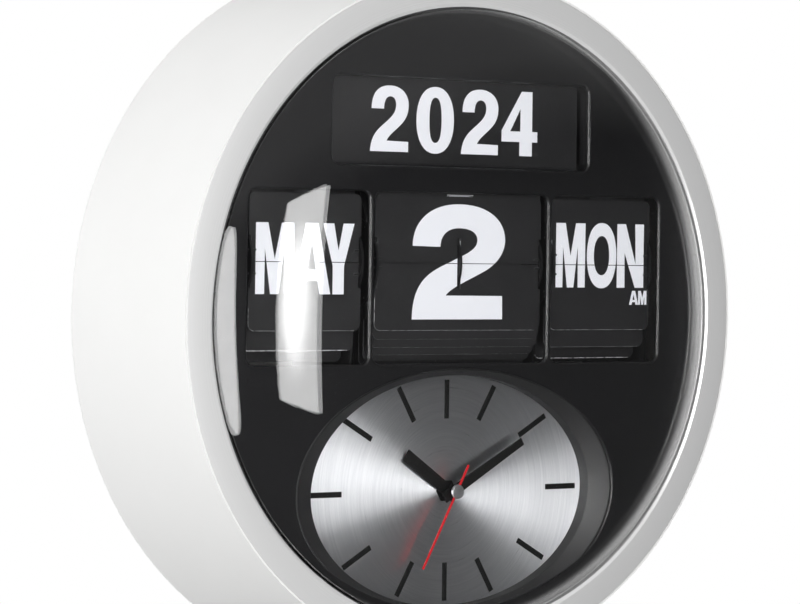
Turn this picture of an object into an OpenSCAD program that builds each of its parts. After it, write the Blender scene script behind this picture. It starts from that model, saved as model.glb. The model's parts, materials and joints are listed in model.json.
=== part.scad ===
// Round wall clock with flip calendar: year, month, date, day and an oval dial under a domed crystal.
// Millimetres. X to the right and Z up as seen from the front, Y backwards to the wall.
// The origin is on the clock's axis in the wall plane, so the front of the case is at -case_depth.
// Inside the modules Y is the depth behind the front of the case.

/* [Case] */
// Radius of the case at the wall
case_rear_r = 200; // [150:1:260]
// Radius of the case at the front
case_front_r = 188.1; // [140:0.1:250]
// Depth of the case without the crystal
case_depth = 95; // [95:1:120]
// Thickness of the case wall
case_wall = 3.2; // [2.4:0.1:4]
// Depth of the straight rim behind the cone
rear_rim_depth = 3; // [2:0.5:5]
// Radius of the rounded edge at the wall
rear_edge_r = 2; // [1:0.1:2]
// Width of the white edge around the front ring
case_edge = 1.1; // [0.8:0.1:2]
// Depth of the rear face of the case's front flange
flange_rear_depth = 8; // [7:0.1:9]

/* [Front ring and crystal] */
// Width of the flat front of the ring
ring_width = 13.7; // [9:0.1:14.5]
// Width of the bright lip of the ring
lip_width = 2.4; // [1:0.1:4]
// Thickness of the ring
ring_thick = 1.5; // [1.2:0.1:2]
// Depth of the bright lip
ring_lip_depth = 1.2; // [0.6:0.1:1.4]
// Height of the dome in front of the case
dome_height = 42; // [42:0.5:60]
// Steepness of the dome at its foot
dome_foot_angle = 52; // [52:1:60]
// Thickness of the crystal
crystal_thick = 2; // [1.6:0.1:3]
// Width of the crystal's flat rim
crystal_rim = 9.7; // [8:0.1:11]

/* [Dial plate] */
// Depth of the front of the black plate
plate_depth = 10.5; // [9.5:0.1:10.8]
// Thickness of the plate
plate_thick = 3; // [2.4:0.1:3]
// Width of the plate's fillet up to its wall
plate_fillet = 7.3; // [6:0.1:10]
// Radius of that fillet
plate_fillet_r = 5; // [3:0.1:6]
// Thickness of the plate's turned-up wall
dish_wall = 1.7; // [1.2:0.1:2]
// Radius of the corners of the windows
window_corner_r = 5; // [3:0.5:8]
// Lower edge of the flap windows
window_low = -25.2; // [-28:0.1:-23]
// Upper edge of the flap windows
window_high = 68.1; // [67.5:0.1:69.5]
// Left edge of the month window
month_window_left = -142.2; // [-143:0.1:-140.5]
// Right edge of the month window
month_window_right = -63.2; // [-64.5:0.1:-62.8]
// Half width of the date window
date_window_half = 59.8; // [58.5:0.1:60.2]
// Left edge of the day window
day_window_left = 63.2; // [62.8:0.1:64.5]
// Right edge of the day window
day_window_right = 141.6; // [139.5:0.1:143]
// Half width of the year window
year_window_half = 88.5; // [80:0.5:89]
// Lower edge of the year window
year_window_low = 82.3; // [82:0.1:86]
// Upper edge of the year window
year_window_high = 130.4; // [126:0.1:132]
// Wall of the tunnel behind the year window
year_tunnel_wall = 1.5; // [1.2:0.1:1.6]
// Depth of the rear of the tunnel behind the year window
year_tunnel_depth = 17.2; // [16:0.1:17.4]

/* [Oval dial] */
// Height of the dial's centre
dial_z = -96; // [-97:0.5:-95]
// Half width of the oval well
well_half_w = 96.1; // [80:0.5:97]
// Half height of the oval well
well_half_h = 64; // [58:0.5:64.5]
// Half width of the well's chamfer at the plate
chamfer_half_w = 109; // [98:0.5:110]
// Half height of the well's chamfer at the plate
chamfer_half_h = 67.5; // [65:0.5:69]
// Depth where the chamfer meets the straight wall
chamfer_depth = 14.9; // [13:0.1:16]
// Wall of the oval well
well_wall = 2.4; // [1.6:0.1:2.5]
// Depth of the front of the dial
dial_depth = 23.2; // [22.8:0.1:23.4]
// Thickness of the dial
dial_thick = 1.2; // [0.8:0.1:1.3]
// Half width of the oval that the hour bars end on
marker_half_w = 92.3; // [80:0.1:94]
// Half height of the oval that the hour bars end on
marker_half_h = 61.4; // [55:0.1:62]
// Length of an hour bar
marker_length = 21.5; // [10:0.5:26]
// Width of an hour bar
marker_width = 3.1; // [1.5:0.1:4]
// Height of an hour bar above the dial
marker_thick = 0.3; // [0.1:0.1:0.5]

/* [Hands and movement] */
// Length of the hour hand
hour_length = 36; // [25:0.5:45]
// Width of the hour hand
hour_width = 7; // [4:0.1:9]
// Tail of the hour hand
hour_tail = 6.5; // [4:0.1:12]
// Length of the minute hand
minute_length = 55; // [45:0.5:60]
// Width of the minute hand at its hub
minute_width = 6.4; // [4:0.1:8]
// Width of the minute hand at its tip
minute_tip = 4.3; // [2:0.1:6]
// Tail of the minute hand
minute_tail = 7; // [4:0.1:14]
// Length of the second hand
second_length = 47.6; // [40:0.1:58]
// Tail of the second hand
second_tail = 16.5; // [8:0.1:25]
// Width of the second hand
second_width = 1.4; // [0.8:0.1:2]
// Angle of the hour hand in the photograph, clockwise from twelve
hour_angle = 305; // [0:1:360]
// Angle of the minute hand in the photograph, clockwise from twelve
minute_angle = 61; // [0:1:360]
// Angle of the second hand in the photograph, clockwise from twelve
second_angle = 208.5; // [0:0.5:360]
// Depth of the front of the hour hand
hour_depth = 20.2; // [19.5:0.1:20.5]
// Depth of the front of the minute hand
minute_depth = 15.6; // [15:0.1:17]
// Depth of the front of the second hand
second_depth = 12.6; // [12:0.1:13.5]
// Thickness of the hour and minute hands
hand_thick = 0.8; // [0.5:0.1:1]
// Thickness of the second hand
second_thick = 0.4; // [0.3:0.1:0.6]
// Radius of the silver cap on the hands
cap_r = 4; // [3:0.1:6]
// Height of the silver cap
cap_height = 1.3; // [1:0.1:1.5]
// Width of the square movement case
movement_width = 56; // [50:1:60]
// Thickness of the movement case
movement_thick = 16; // [14:0.5:18]
// Radius of the threaded neck of the movement
neck_r = 4; // [3.6:0.1:4.5]
// Width of the nut on the neck across its corners
nut_width = 13; // [11:0.5:14]
// Thickness of the nut
nut_thick = 1.35; // [1:0.05:1.4]
// Radius of the hour pipe
hour_pipe_r = 2.7; // [2.6:0.05:2.8]
// Radius of the minute pipe
minute_pipe_r = 1.95; // [1.8:0.05:2]
// Radius of the second pivot
second_pivot_r = 0.85; // [0.7:0.05:0.9]
// Radius of the time setting knob
knob_r = 11; // [8:0.5:13]
// Radius of the stem of the time setting knob
knob_stem_r = 2.5; // [2:0.1:3]
// Distance of the time setting knob to the right of the dial's centre
knob_x = 14; // [10:0.5:20]

/* [Flaps] */
// Height of the line where a flap is split from the next
split_z = 29.6; // [29:0.1:30.2]
// Height of one half of a display
flap_half = 36.8; // [35:0.1:37]
// Radius of the outer corners of a flap
flap_corner_r = 4; // [1:0.5:6]
// Thickness of a flap
flap_thick = 0.4; // [0.3:0.05:0.45]
// Gap between the halves of a display
split_gap = 0.4; // [0.3:0.05:0.8]
// Height of the notch in a flap that goes around the flange
notch_height = 13.9; // [13.7:0.1:15]
// Width of the notch in a flap that goes around the flange
notch_width = 1.6; // [1.5:0.1:1.7]
// Radius of the circle that the flap pins are on
pin_circle_r = 24.3; // [24:0.1:24.5]
// Radius of a flap pin
flap_pin_r = 0.6; // [0.5:0.05:0.7]
// Centre of the month display
month_x = -102.7; // [-103:0.1:-102]
// Half width of a month flap
month_half = 36.6; // [35:0.1:36.8]
// Half width of a date flap
date_half = 57.4; // [55:0.1:57.6]
// Centre of the day display
day_x = 101.3; // [101.3:0.1:102.5]
// Half width of a day flap
day_half = 36.6; // [35.4:0.1:36.6]
// Number of month flaps
month_flaps = 12; // [12:1:12]
// Number of date flaps
date_flaps = 31; // [31:1:31]
// Number of day flaps, a morning and an afternoon flap for each day
day_flaps = 14; // [14:1:14]

/* [Drums and gears] */
// Depth of the drums' axis
drum_depth = 38.2; // [38:0.1:38.6]
// Radius of a drum's flange
flange_r = 26.5; // [26:0.1:26.6]
// Thickness of a drum's flange
flange_thick = 1.4; // [1.2:0.1:1.5]
// Radius of a drum's hub
hub_r = 9; // [6:0.5:12]
// Radius of the drums' axle
axle_r = 2.5; // [2:0.1:3]
// Gear module
gear_module = 1; // [1:0.1:1]
// Thickness of the gears
gear_thick = 4; // [3:0.1:4]
// Teeth of a drum's gear
drum_teeth = 40; // [40:2:40]
// Teeth of a setting wheel
wheel_teeth = 32; // [32:2:32]
// Teeth of a motor pinion
pinion_teeth = 10; // [10:1:10]
// Teeth of the date train's idler
idler_teeth = 24; // [24:2:24]
// Play between meshed teeth at the pitch circle
backlash = 0.35; // [0.25:0.05:0.5]
// Radius of the studs that the wheels turn on
stud_r = 2; // [1.5:0.1:2.2]
// Radius of a motor can
motor_r = 9; // [7:0.5:9]
// Length of a motor can
motor_length = 22; // [16:1:26]
// Radius of a motor shaft
shaft_r = 1; // [0.8:0.1:1.2]

/* [Chassis] */
// Thickness of the chassis side plates
side_thick = 1.5; // [1.2:0.1:1.6]
// Distance of the outer side plates from the clock's axis
outer_side_x = 145.5; // [145.3:0.1:146]
// Distance of the inner side plates from the clock's axis
inner_side_x = 63.5; // [63.4:0.1:63.9]
// Thickness of a catch spring
catch_thick = 0.2; // [0.15:0.05:0.2]
// Width of a catch spring
catch_width = 18; // [8:1:24]

/* [Year band] */
// Radius of the band rolls
roll_r = 7; // [6:0.1:7]
// Depth of the rolls' axes
roll_depth = 26; // [26:0.1:26.5]
// Height of the lower roll
lower_roll_z = 84.5; // [84:0.1:86]
// Height of the upper roll
upper_roll_z = 141; // [140:0.5:142]
// Half width of the band
band_half = 86; // [70:0.5:86]
// Thickness of the band
band_thick = 0.35; // [0.2:0.05:0.4]
// Distance of the bracket's side plates from the clock's axis
bracket_x = 91; // [91:0.1:92]
// Teeth of the gear on the upper roll
roll_teeth = 16; // [16:1:16]
// Teeth of the year idler and of the year setting wheel
year_teeth = 28; // [28:2:28]

/* [Rear cover] */
// Thickness of the rear cover
cover_thick = 3; // [2.5:0.1:3]
// Depth of the pockets that the setting wheels stand in
pocket_depth = 8; // [6:0.5:8]
// Wall of the pockets
pocket_wall = 2; // [1.5:0.1:2.5]
// Distance of the cover screws from the cover's edge
cover_screw_inset = 8.2; // [7:0.1:10]
// Radius of the keyhole's round part
keyhole_r = 4.75; // [4:0.05:6]
// Width of the keyhole's slot
keyhole_slot = 5; // [3.5:0.1:5.5]
// Height of the keyhole's round part
keyhole_z = 146; // [140:1:150]
// Thickness of the steel hanger plate
hanger_thick = 1.6; // [1.2:0.1:2]
// Half width of the hanger plate
hanger_half = 24; // [22:0.5:26]
// Length of the keyhole's slot
keyhole_slot_length = 12; // [8:0.5:14]

/* [Batteries] */
// Radius of a D cell
cell_r = 16.6; // [16.2:0.1:17.1]
// Length of a D cell
cell_length = 61; // [59:0.5:61.5]
// Left side of the battery bay
bay_left = -131; // [-132:0.5:-130]
// Right side of the battery bay
bay_right = -61; // [-62:0.5:-60]
// Lower side of the battery bay
bay_low = -123; // [-124:0.5:-122]
// Upper side of the battery bay
bay_high = -47; // [-48:0.5:-46]
// Height of the bay in front of the rear cover
bay_height = 38; // [37:0.5:40]
// Wall of the battery tray
bay_wall = 1.6; // [1.4:0.1:2]
// Radius of a cell's raised pole
pole_r = 4.6; // [4:0.1:5]
// Wire radius of the contact springs
spring_wire_r = 0.5; // [0.4:0.05:0.5]

/* [Hidden] */
$fn = 96;
// Gap between pieces that are fixed to each other
seat_gap = 0.1;
// Gap between pieces that move past each other
free_gap = 0.4;
// Radial play of a shaft in its hole
shaft_play = 0.06;
// Overlap of a cut past the face it cuts
cut = 1;
// Depth that joined shapes run into each other
join = 1;
// Gap between a flap and the flange beside it
flange_gap = 0.3;
// Gap between pieces that are pressed or glued together
press_gap = 0.05;
// Facets of small holes
hole_fn = 24;
// Corners of an oval
oval_steps = 120;
// Steps of the dome's outline
dome_steps = 28;
// Gap between the cover and the case wall
cover_gap = 0.6;
// Gap between the dome and the ring's lip
lip_gap = 0.5;
case_cone_depth = case_depth - rear_rim_depth;
ring_outer_r = case_front_r - case_edge - seat_gap;
ring_flat_r = ring_outer_r - ring_width;
ring_lip_r = ring_flat_r - lip_width;
dome_r = ring_lip_r - lip_gap;
crystal_rim_r = dome_r + crystal_rim;
plate_flat_r = ring_lip_r - plate_fillet;
cover_r = case_rear_r - case_wall - cover_gap;
cover_screw_circle_r = cover_r - cover_screw_inset;
plate_rear = plate_depth + plate_thick;
crystal_front = ring_thick + seat_gap;
flange_front = crystal_front + crystal_thick + seat_gap;
dish_flange_front = flange_rear_depth + seat_gap;
dish_flange_thick = 2.5;
cover_front = case_depth - cover_thick;
bay_depth = cover_front - bay_height;
pocket_floor = case_depth - pocket_depth;
drum_pitch_r = gear_module * drum_teeth / 2;
wheel_pitch_r = gear_module * wheel_teeth / 2;
pinion_pitch_r = gear_module * pinion_teeth / 2;
idler_pitch_r = gear_module * idler_teeth / 2;
wheel_depth = drum_depth + drum_pitch_r + wheel_pitch_r;
pinion_z = split_z + wheel_pitch_r + pinion_pitch_r;
idler_z = split_z + wheel_pitch_r + idler_pitch_r;
date_pinion_z = idler_z + idler_pitch_r + pinion_pitch_r;
roll_pitch_r = gear_module * roll_teeth / 2;
year_pitch_r = gear_module * year_teeth / 2;
year_idler_depth = roll_depth + roll_pitch_r + year_pitch_r;
year_wheel_depth = year_idler_depth + 2 * year_pitch_r;
roll_journal_r = 2;
dial_rear = dial_depth + dial_thick;
movement_front = dial_rear + 2 * seat_gap;
movement_rear = movement_front + movement_thick;
// Width of the notch around the date drum's middle flange
middle_notch = flange_thick + 2 * (free_gap + seat_gap);
// Length of a flap's pin inside the flap
pin_root = 3;
// Distance from a drum's middle to the outer face of its flange
function drum_end(half) = half - notch_width + flange_gap + flange_thick;
month_gear_x = month_x - drum_end(month_half) - free_gap - gear_thick;
date_gear_x = drum_end(date_half) + free_gap;
day_gear_x = day_x + drum_end(day_half) + free_gap;
year_gear_x = bracket_x + side_thick / 2 + free_gap;
// Shape of a gear tooth in modules and in shares of its pitch half width
tooth_rise = 0.85;
tooth_depth = 1.15;
tip_share = 0.5;
root_share = 1.45;
// How far the flaps of the rear pack lean back from the radius
month_lean = 10;
date_lean = 6;
day_lean = 8;
// Outer radius of the plate's turned-up wall
dish_wall_r = ring_lip_r + 0.8;
// Depth where the bosses for the cover screws start
boss_front = 55;
// Radius of those bosses
boss_r = 4.5;
// Half thickness of their ribs
boss_rib = 1.5;
// Radius of all small screws
screw_r = 1.4;
// Radius of their heads
screw_head_r = 2.8;
// Height of their heads
screw_head_h = 1.8;
// Length of a cover screw in the case
cover_screw_length = 12;
// Radius of the circle of the plate screws
dish_screw_circle_r = dish_wall_r + 5.4;
// Length of a plate screw in the case's flange
dish_screw_grip = 3;
// Radius of the plate's flange
dish_flange_r = dish_wall_r + 9.4;
// Steps that the chamfer is cut in
chamfer_steps = 4;
// Plate that the chamfer leaves at its rear
chamfer_floor = 0.8;
// Distance of the chassis ears from the clock's axis
chassis_ear_x = 153.5;
// Heights of the chassis ears
chassis_ear_z = [-26, 50];
// Depth of the chassis ears
ear_depth = 40;
// Thickness of the chassis ears
ear_thick = 2;
// Half width of the ears of the chassis and the bracket
ear_half = 5;
// Radius of the plate's bosses for the chassis
ear_boss_r = 4;
// Radius of the plate's bosses for the year bracket
bracket_boss_r = 3.5;
// Length of a chassis screw in its boss
ear_screw_grip = 7;
// Distance of the year bracket's ears from the clock's axis
bracket_ear_x = 97;
// Height of the year bracket's ears
bracket_ear_z = 106;
// Depth of the year bracket's front edge
bracket_front = 17.5;
// Depth of the bottom of the bore for the pipes
pivot_end = 33;
// Room between the pivot and the bottom of the bore
pivot_room = 1;
// How far a pipe ends in front of the one inside it
pipe_step = 2;
// How far a hand's hub stands out at its sides
hand_hub = 0.6;
// Gap between the hour bars and the dial
marker_gap = 0.02;
// Radius of the corners of the movement case
movement_corner_r = 3;
// Radius of a flute of the knob
flute_r = 0.9;
// Number of flutes of the knob
flutes = 24;
// Length of the knob's stem in the movement
knob_stem_grip = 4;
// Depth of the side plates' front edge
chassis_front = 26;
// Depth of the side plates' rear edge
chassis_rear = 81;
// Lower edge of the side plates
chassis_low = -34;
// Height where the side plates narrow to the motor tower
chassis_mid = 70;
// Upper edge of the motor tower
chassis_high = 86;
// Depth of the tower's front edge
tower_front = 46;
// Depth of the lower cross rail's front
low_rail_depth = 60;
// Depth of the upper cross rail's front
high_rail_depth = 48;
// Width of the cross rails
rail_width = 6;
// Height of the lower cross rail
low_rail_height = 3;
// Height of the upper cross rail
high_rail_height = 5;
// Play of the axle in the side plates
axle_play = 0.02;
// Radius of the holes for the motor shafts
motor_hole_r = 2.5;
// How far a motor's shaft reaches past the side plate's middle
shaft_reach = 6;
// Depth of the bore in a motor
motor_bore = 8;
// Radius of the boss at a motor's end
motor_boss_r = 3.5;
// Height of that boss
motor_boss_h = 1.2;
// Height of a catch spring above the flap's edge
catch_height = 13.6;
// Depth of the year bracket's cross rail
bracket_rear = 36;
// Depth of the rear of the arm for the year gears
arm_rear = 80;
// Distance of the arm's lower edge from the gears' axis
arm_drop = 9;
// Half height of the cross rail
cross_half = 8;
// How far a roll's journal passes the bracket's middle
journal_reach = 2;
// Distance of the year ears' end from their screw
bracket_ear_end = 4;
// Lower edge of the year bracket
bracket_low = 79.5;
// Upper edge of the year bracket
bracket_high = 150;
// Half height of a setting wheel's slot
slot_half = 15.5;
// Room beside a wheel in its slot
slot_room = 1;
// Half width of the setting wheels' trough
trough_half = 147.5;
// Lower edge of the trough
trough_low = 11;
// Upper edge of the trough
trough_high = 46.5;
// Left side of the year wheel's pocket
year_pocket_left = 88;
// Right side of the year wheel's pocket
year_pocket_right = 103;
// Lower edge of the year wheel's pocket
year_pocket_low = 122;
// Upper edge of the year wheel's pocket
year_pocket_high = 159;
// Radius of the knob's pocket
knob_pocket_r = 18;
// Half width of the opening behind the keyhole
keyhole_opening = 14;
// Room in that opening under and over the keyhole
keyhole_room = [12, 20];
// Edges of the hanger plate under and over the keyhole
hanger_reach = [16, 24];
// Radius of the corners of the hanger and its opening
hanger_corner_r = 4;
// Height of a rivet's head on the hanger plate
rivet_head = 1;
// Depth of a rivet's end under the cover's face
rivet_inset = 0.8;
// Distance of the hanger's rivets from the middle
hanger_screw_x = 19;
// Left and right screw of the control board
board_x = [66, 118];
// Lower and upper screw of the control board
board_z = [-114, -66];
// Depth of the control board
board_depth = cover_front - 16;
// Thickness of the control board
board_thick = 1.6;
// Distance of the board's edge from its screws
board_edge = 5;
// Radius of the posts for the board
board_post_r = 3;
// Depth that a component stands in the board
component_root = 0.2;
// Middle and size of the chip
chip_at = [91, -90];
chip_size = 14;
chip_height = 2.4;
// Middle and size of the driver
driver_at = [76, -99];
driver_size = [8, 18];
driver_height = 4;
// Middle and size of the capacitor
capacitor_at = [108, -94];
capacitor_r = 4;
capacitor_height = 8;
// Place, size and heights of the four connectors
connector_x = 116;
connector_z = [-112, -100, -88, -76];
connector_half = 4;
connector_height = 5;
// Depth of the cells' axes
cell_depth = bay_depth + cell_r + seat_gap;
// Thickness of the battery door
door_thick = cover_thick - 0.3;
// Depth and height of the door's hinge axis
door_hinge_depth = case_depth - door_thick / 2;
door_hinge_z = bay_low + free_gap + door_thick / 2;
// Half width of a contact plate
contact_half = 9;
// Thickness of a contact plate
contact_thick = 0.5;
// Turns of a contact spring
spring_turns = 3;
// Distance between two turns
spring_pitch = 0.95;
// Radius of the widest turn
spring_r = 7;
// Height of a cell's pole
pole_height = 1.4;
// Length of a cell's can without its pole
can_inset = 0.8;
// Radius and length of the door's hinge pins
door_pin_r = 0.8;
door_pin_length = 1.6;
// Finger grip of the door: half length, radius, height above the face and distance from the edge
grip_half = 10;
grip_r = 4.2;
grip_rise = 3;
grip_inset = 7;
// Middle of the bay
cell_mid_x = (bay_left + bay_right) / 2;
// Mid height of the bay
cell_mid_z = (bay_low + bay_high) / 2;
// Distance of a cell's axis from the bay's mid height
cell_rise = 18;

// Shared shapes

// Moves from depth behind the front to the origin at the wall
module from_front() translate([0, -case_depth, 0]) children();

// Turns an outline of radius and depth about the clock's axis
module turned() rotate([-90, 0, 0]) rotate_extrude($fn = 180) children();

// Round bar along Y
module bar_y(x, y0, y1, z, r) translate([x, y0, z]) rotate([-90, 0, 0]) cylinder(h = y1 - y0, r = r);

// Round bar along X
module bar_x(x0, x1, y, z, r) translate([x0, y, z]) rotate([0, 90, 0]) cylinder(h = x1 - x0, r = r);

// Box between two corners
module box(x0, x1, y0, y1, z0, z1) translate([x0, y0, z0]) cube([x1 - x0, y1 - y0, z1 - z0]);

// Box along Y with round corners
module round_box(x0, x1, y0, y1, z0, z1, r) {
    box(x0 + r, x1 - r, y0, y1, z0, z1);
    box(x0, x1, y0, y1, z0 + r, z1 - r);
    for (x = [x0 + r, x1 - r], z = [z0 + r, z1 - r]) bar_y(x, y0, y1, z, r);
}

// Outline of an oval
function oval(a, b) = [for (i = [0 : oval_steps - 1]) [a * cos(360 * i / oval_steps),
    b * sin(360 * i / oval_steps)]];

// Oval slab along Y about the dial's centre
module oval_slab(a, b, y0, y1) translate([0, y1, dial_z]) rotate([90, 0, 0])
    linear_extrude(y1 - y0) polygon(oval(a, b));

// Screw along Y with its head towards +Y
module screw_y(x, z, y_tip, y_head, r, head_r, head_h) {
    bar_y(x, y_tip, y_head, z, r);
    bar_y(x, y_head, y_head + head_h, z, head_r);
}

// Outline of a spur gear, with one tooth on the angle a
function tooth(n, a, i) = let (
    r = gear_module * n / 2,
    half = 90 / n - backlash * 90 / (PI * r),
    c = a + 360 * i / n,
    tip = half * tip_share,
    root = half * root_share,
    low = r - tooth_depth * gear_module,
    high = r + tooth_rise * gear_module
) [
    [low, c - root], [high, c - tip], [high, c + tip], [low, c + root]
];
function gear_outline(n, a) = [for (i = [0 : n - 1]) for (p = tooth(n, a, i)) [p[0] * cos(p[1]),
    p[0] * sin(p[1])]];

// Spur gear with its axis along X; angle 0 is +Y and angle 90 is +Z
module gear(n, a, x, y, z) translate([x, y, z]) rotate([90, 0, 90])
    linear_extrude(gear_thick) polygon(gear_outline(n, a));

// Flaps and drums

// Angle between two flaps on a drum
function step(n) = 360 / n;
// Distance of a flap's pin from its split edge
function pin_offset(n) = pin_circle_r * sin(step(n) / 2);
// Place of the pin at an angle above the front of the drum
function pin_y(a) = drum_depth - pin_circle_r * cos(a);
function pin_z(a) = split_z + pin_circle_r * sin(a);

// One flap with its pin at the angle a; lean 0 stands up, 90 points back and 180 hangs
module flap(x, half, n, a, lean, middle = false) translate([x, pin_y(a), pin_z(a)]) rotate([-lean, 0, 0]) {
    e = pin_offset(n);
    inner = half - notch_width;
    rotate([90, 0, 0]) linear_extrude(flap_thick, center = true) difference() {
        union() {
            translate([-inner, split_gap / 2 - e]) square([2 * inner, notch_height]);
            translate([-half, notch_height - e])
                square([2 * half, flap_half - notch_height - flap_corner_r]);
            translate([flap_corner_r - half, notch_height - e])
                square([2 * (half - flap_corner_r), flap_half - notch_height]);
            for (s = [-1, 1]) translate([s * (half - flap_corner_r), flap_half - flap_corner_r - e])
                circle(flap_corner_r, $fn = 48);
        }
        if (middle) translate([-middle_notch / 2, -e]) square([middle_notch, notch_height]);
    }
    for (s = [-1, 1]) scale([s, 1, 1]) bar_x(inner - pin_root,
        inner + flange_gap + flange_thick - seat_gap, 0, 0, flap_pin_r, $fn = hole_fn);
}

// The flaps from number k0 to k1, counted up from the front and over the back of the drum
module flap_pack(x, half, n, k0, k1, lean, middle = false)
    for (k = [k0 : k1]) {
        a = (k + 0.5) * step(n);
        flap(x, half, n, a, min(a - lean, 180), middle);
    }

// Drum between two flanges, with its gear at gear_x
module drum(x, half, n, gear_x, middle = false) {
    end = drum_end(half);
    toward_gear = gear_x < x ? -1 : 1;
    difference() {
        union() {
            bar_x(x - end, x + end, drum_depth, split_z, hub_r);
            bar_x(x - end, x - end + flange_thick, drum_depth, split_z, flange_r);
            bar_x(x + end - flange_thick, x + end, drum_depth, split_z, flange_r);
            if (middle) bar_x(x - flange_thick / 2, x + flange_thick / 2, drum_depth, split_z, flange_r);
            gear(drum_teeth, 0, gear_x, drum_depth, split_z);
            bar_x(min(x + toward_gear * (end - join), gear_x + join),
                max(x + toward_gear * (end - join), gear_x + join), drum_depth, split_z, hub_r);
        }
        bar_x(x - 2 * half, x + 2 * half, drum_depth, split_z, axle_r + shaft_play);
        for (k = [0 : n - 1], s = [-1, 1])
            bar_x(x + s * (end - flange_thick / 2) - flange_thick,
                x + s * (end - flange_thick / 2) + flange_thick,
                pin_y((k + 0.5) * step(n)), pin_z((k + 0.5) * step(n)), flap_pin_r + shaft_play,
                $fn = hole_fn);
    }
}

// Toothed wheel on a stud
module stud_wheel(n, a, x, y, z) difference() {
    gear(n, a, x, y, z);
    bar_x(x - cut, x + gear_thick + cut, y, z, stud_r + shaft_play);
}

// Pinion with its motor shaft, which runs from x0 to x1
module pinion(a, x, z, x0, x1) {
    gear(pinion_teeth, a, x, wheel_depth, z);
    bar_x(x0, x1, wheel_depth, z, shaft_r);
}

// Case

// Radius of the outside of the case at a depth
function case_r(y) = case_front_r + (case_rear_r - case_front_r) * min(y,
    case_cone_depth) / case_cone_depth;

// White case with its front flange and the bosses for the cover screws
module case_shell() color("white") from_front() {
    difference() {
        union() {
            turned() polygon(concat(
                [[case_front_r, 0], [case_rear_r, case_cone_depth]],
                [for (a = [0 : 30 : 90]) [case_rear_r - rear_edge_r * (1 - cos(a)),
                    case_depth - rear_edge_r * (1 - sin(a))]],
                [[case_rear_r - case_wall, case_depth], [case_rear_r - case_wall, case_cone_depth],
                    [case_r(flange_rear_depth) - case_wall, flange_rear_depth],
                    [dish_wall_r + seat_gap, flange_rear_depth], [dish_wall_r + seat_gap, flange_front],
                    [crystal_rim_r + seat_gap, flange_front], [crystal_rim_r + seat_gap, crystal_front],
                    [case_front_r - case_edge, crystal_front], [case_front_r - case_edge, 0]]
            ));
            for (a = [30 : 60 : 330]) rotate([0, a, 0]) intersection() {
                union() {
                    bar_y(cover_screw_circle_r, boss_front, cover_front - seat_gap, 0, boss_r);
                    box(cover_screw_circle_r, case_rear_r, boss_front, cover_front - seat_gap,
                        -boss_rib, boss_rib);
                }
                turned() polygon([[0, 0], [case_front_r - join, 0], [case_rear_r - join, case_cone_depth],
                    [0, case_cone_depth]]);
            }
        }
        for (a = [30 : 60 : 330]) rotate([0, a, 0])
            bar_y(cover_screw_circle_r, cover_front - cover_screw_length, case_depth, 0,
                screw_r + seat_gap);
        for (a = [0 : 60 : 300]) rotate([0, a, 0])
            bar_y(dish_screw_circle_r, flange_rear_depth - dish_screw_grip, case_depth, 0,
                screw_r + seat_gap, $fn = hole_fn);
    }
}

// Satin silver ring with its bright lip
module front_ring() color("silver") from_front() turned() polygon([
    [ring_outer_r, 0], [ring_flat_r, 0], [ring_lip_r, ring_lip_depth],
    [ring_lip_r, ring_thick], [ring_outer_r, ring_thick]
]);

// Part of the full ellipse's height that lies under the dome's foot
function dome_sunk(r, h) = h / (r * tan(dome_foot_angle) - h);
// Outline of a dome from its foot to the middle, closer steps near the foot
function dome(r, h) = let (k = dome_sunk(r, h)) [
    for (i = [0 : dome_steps])
        let (t = cos(90 * i / dome_steps))
        [r * t, -h / (1 - k) * (sqrt(1 - (1 - k * k) * t * t) - k)]
];

// Clear dome with a flat rim under the ring
module crystal() color("lightcyan", 0.3) from_front() turned() polygon(concat(
    [[crystal_rim_r, crystal_front + crystal_thick], [crystal_rim_r, crystal_front],
        [dome_r, crystal_front]],
    dome(dome_r, dome_height),
    let (inside = dome(dome_r - crystal_thick,
        dome_height - crystal_thick)) [for (i = [dome_steps : -1 : 0]) inside[i]],
    [[dome_r - crystal_thick, crystal_front + crystal_thick]]
));

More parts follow.
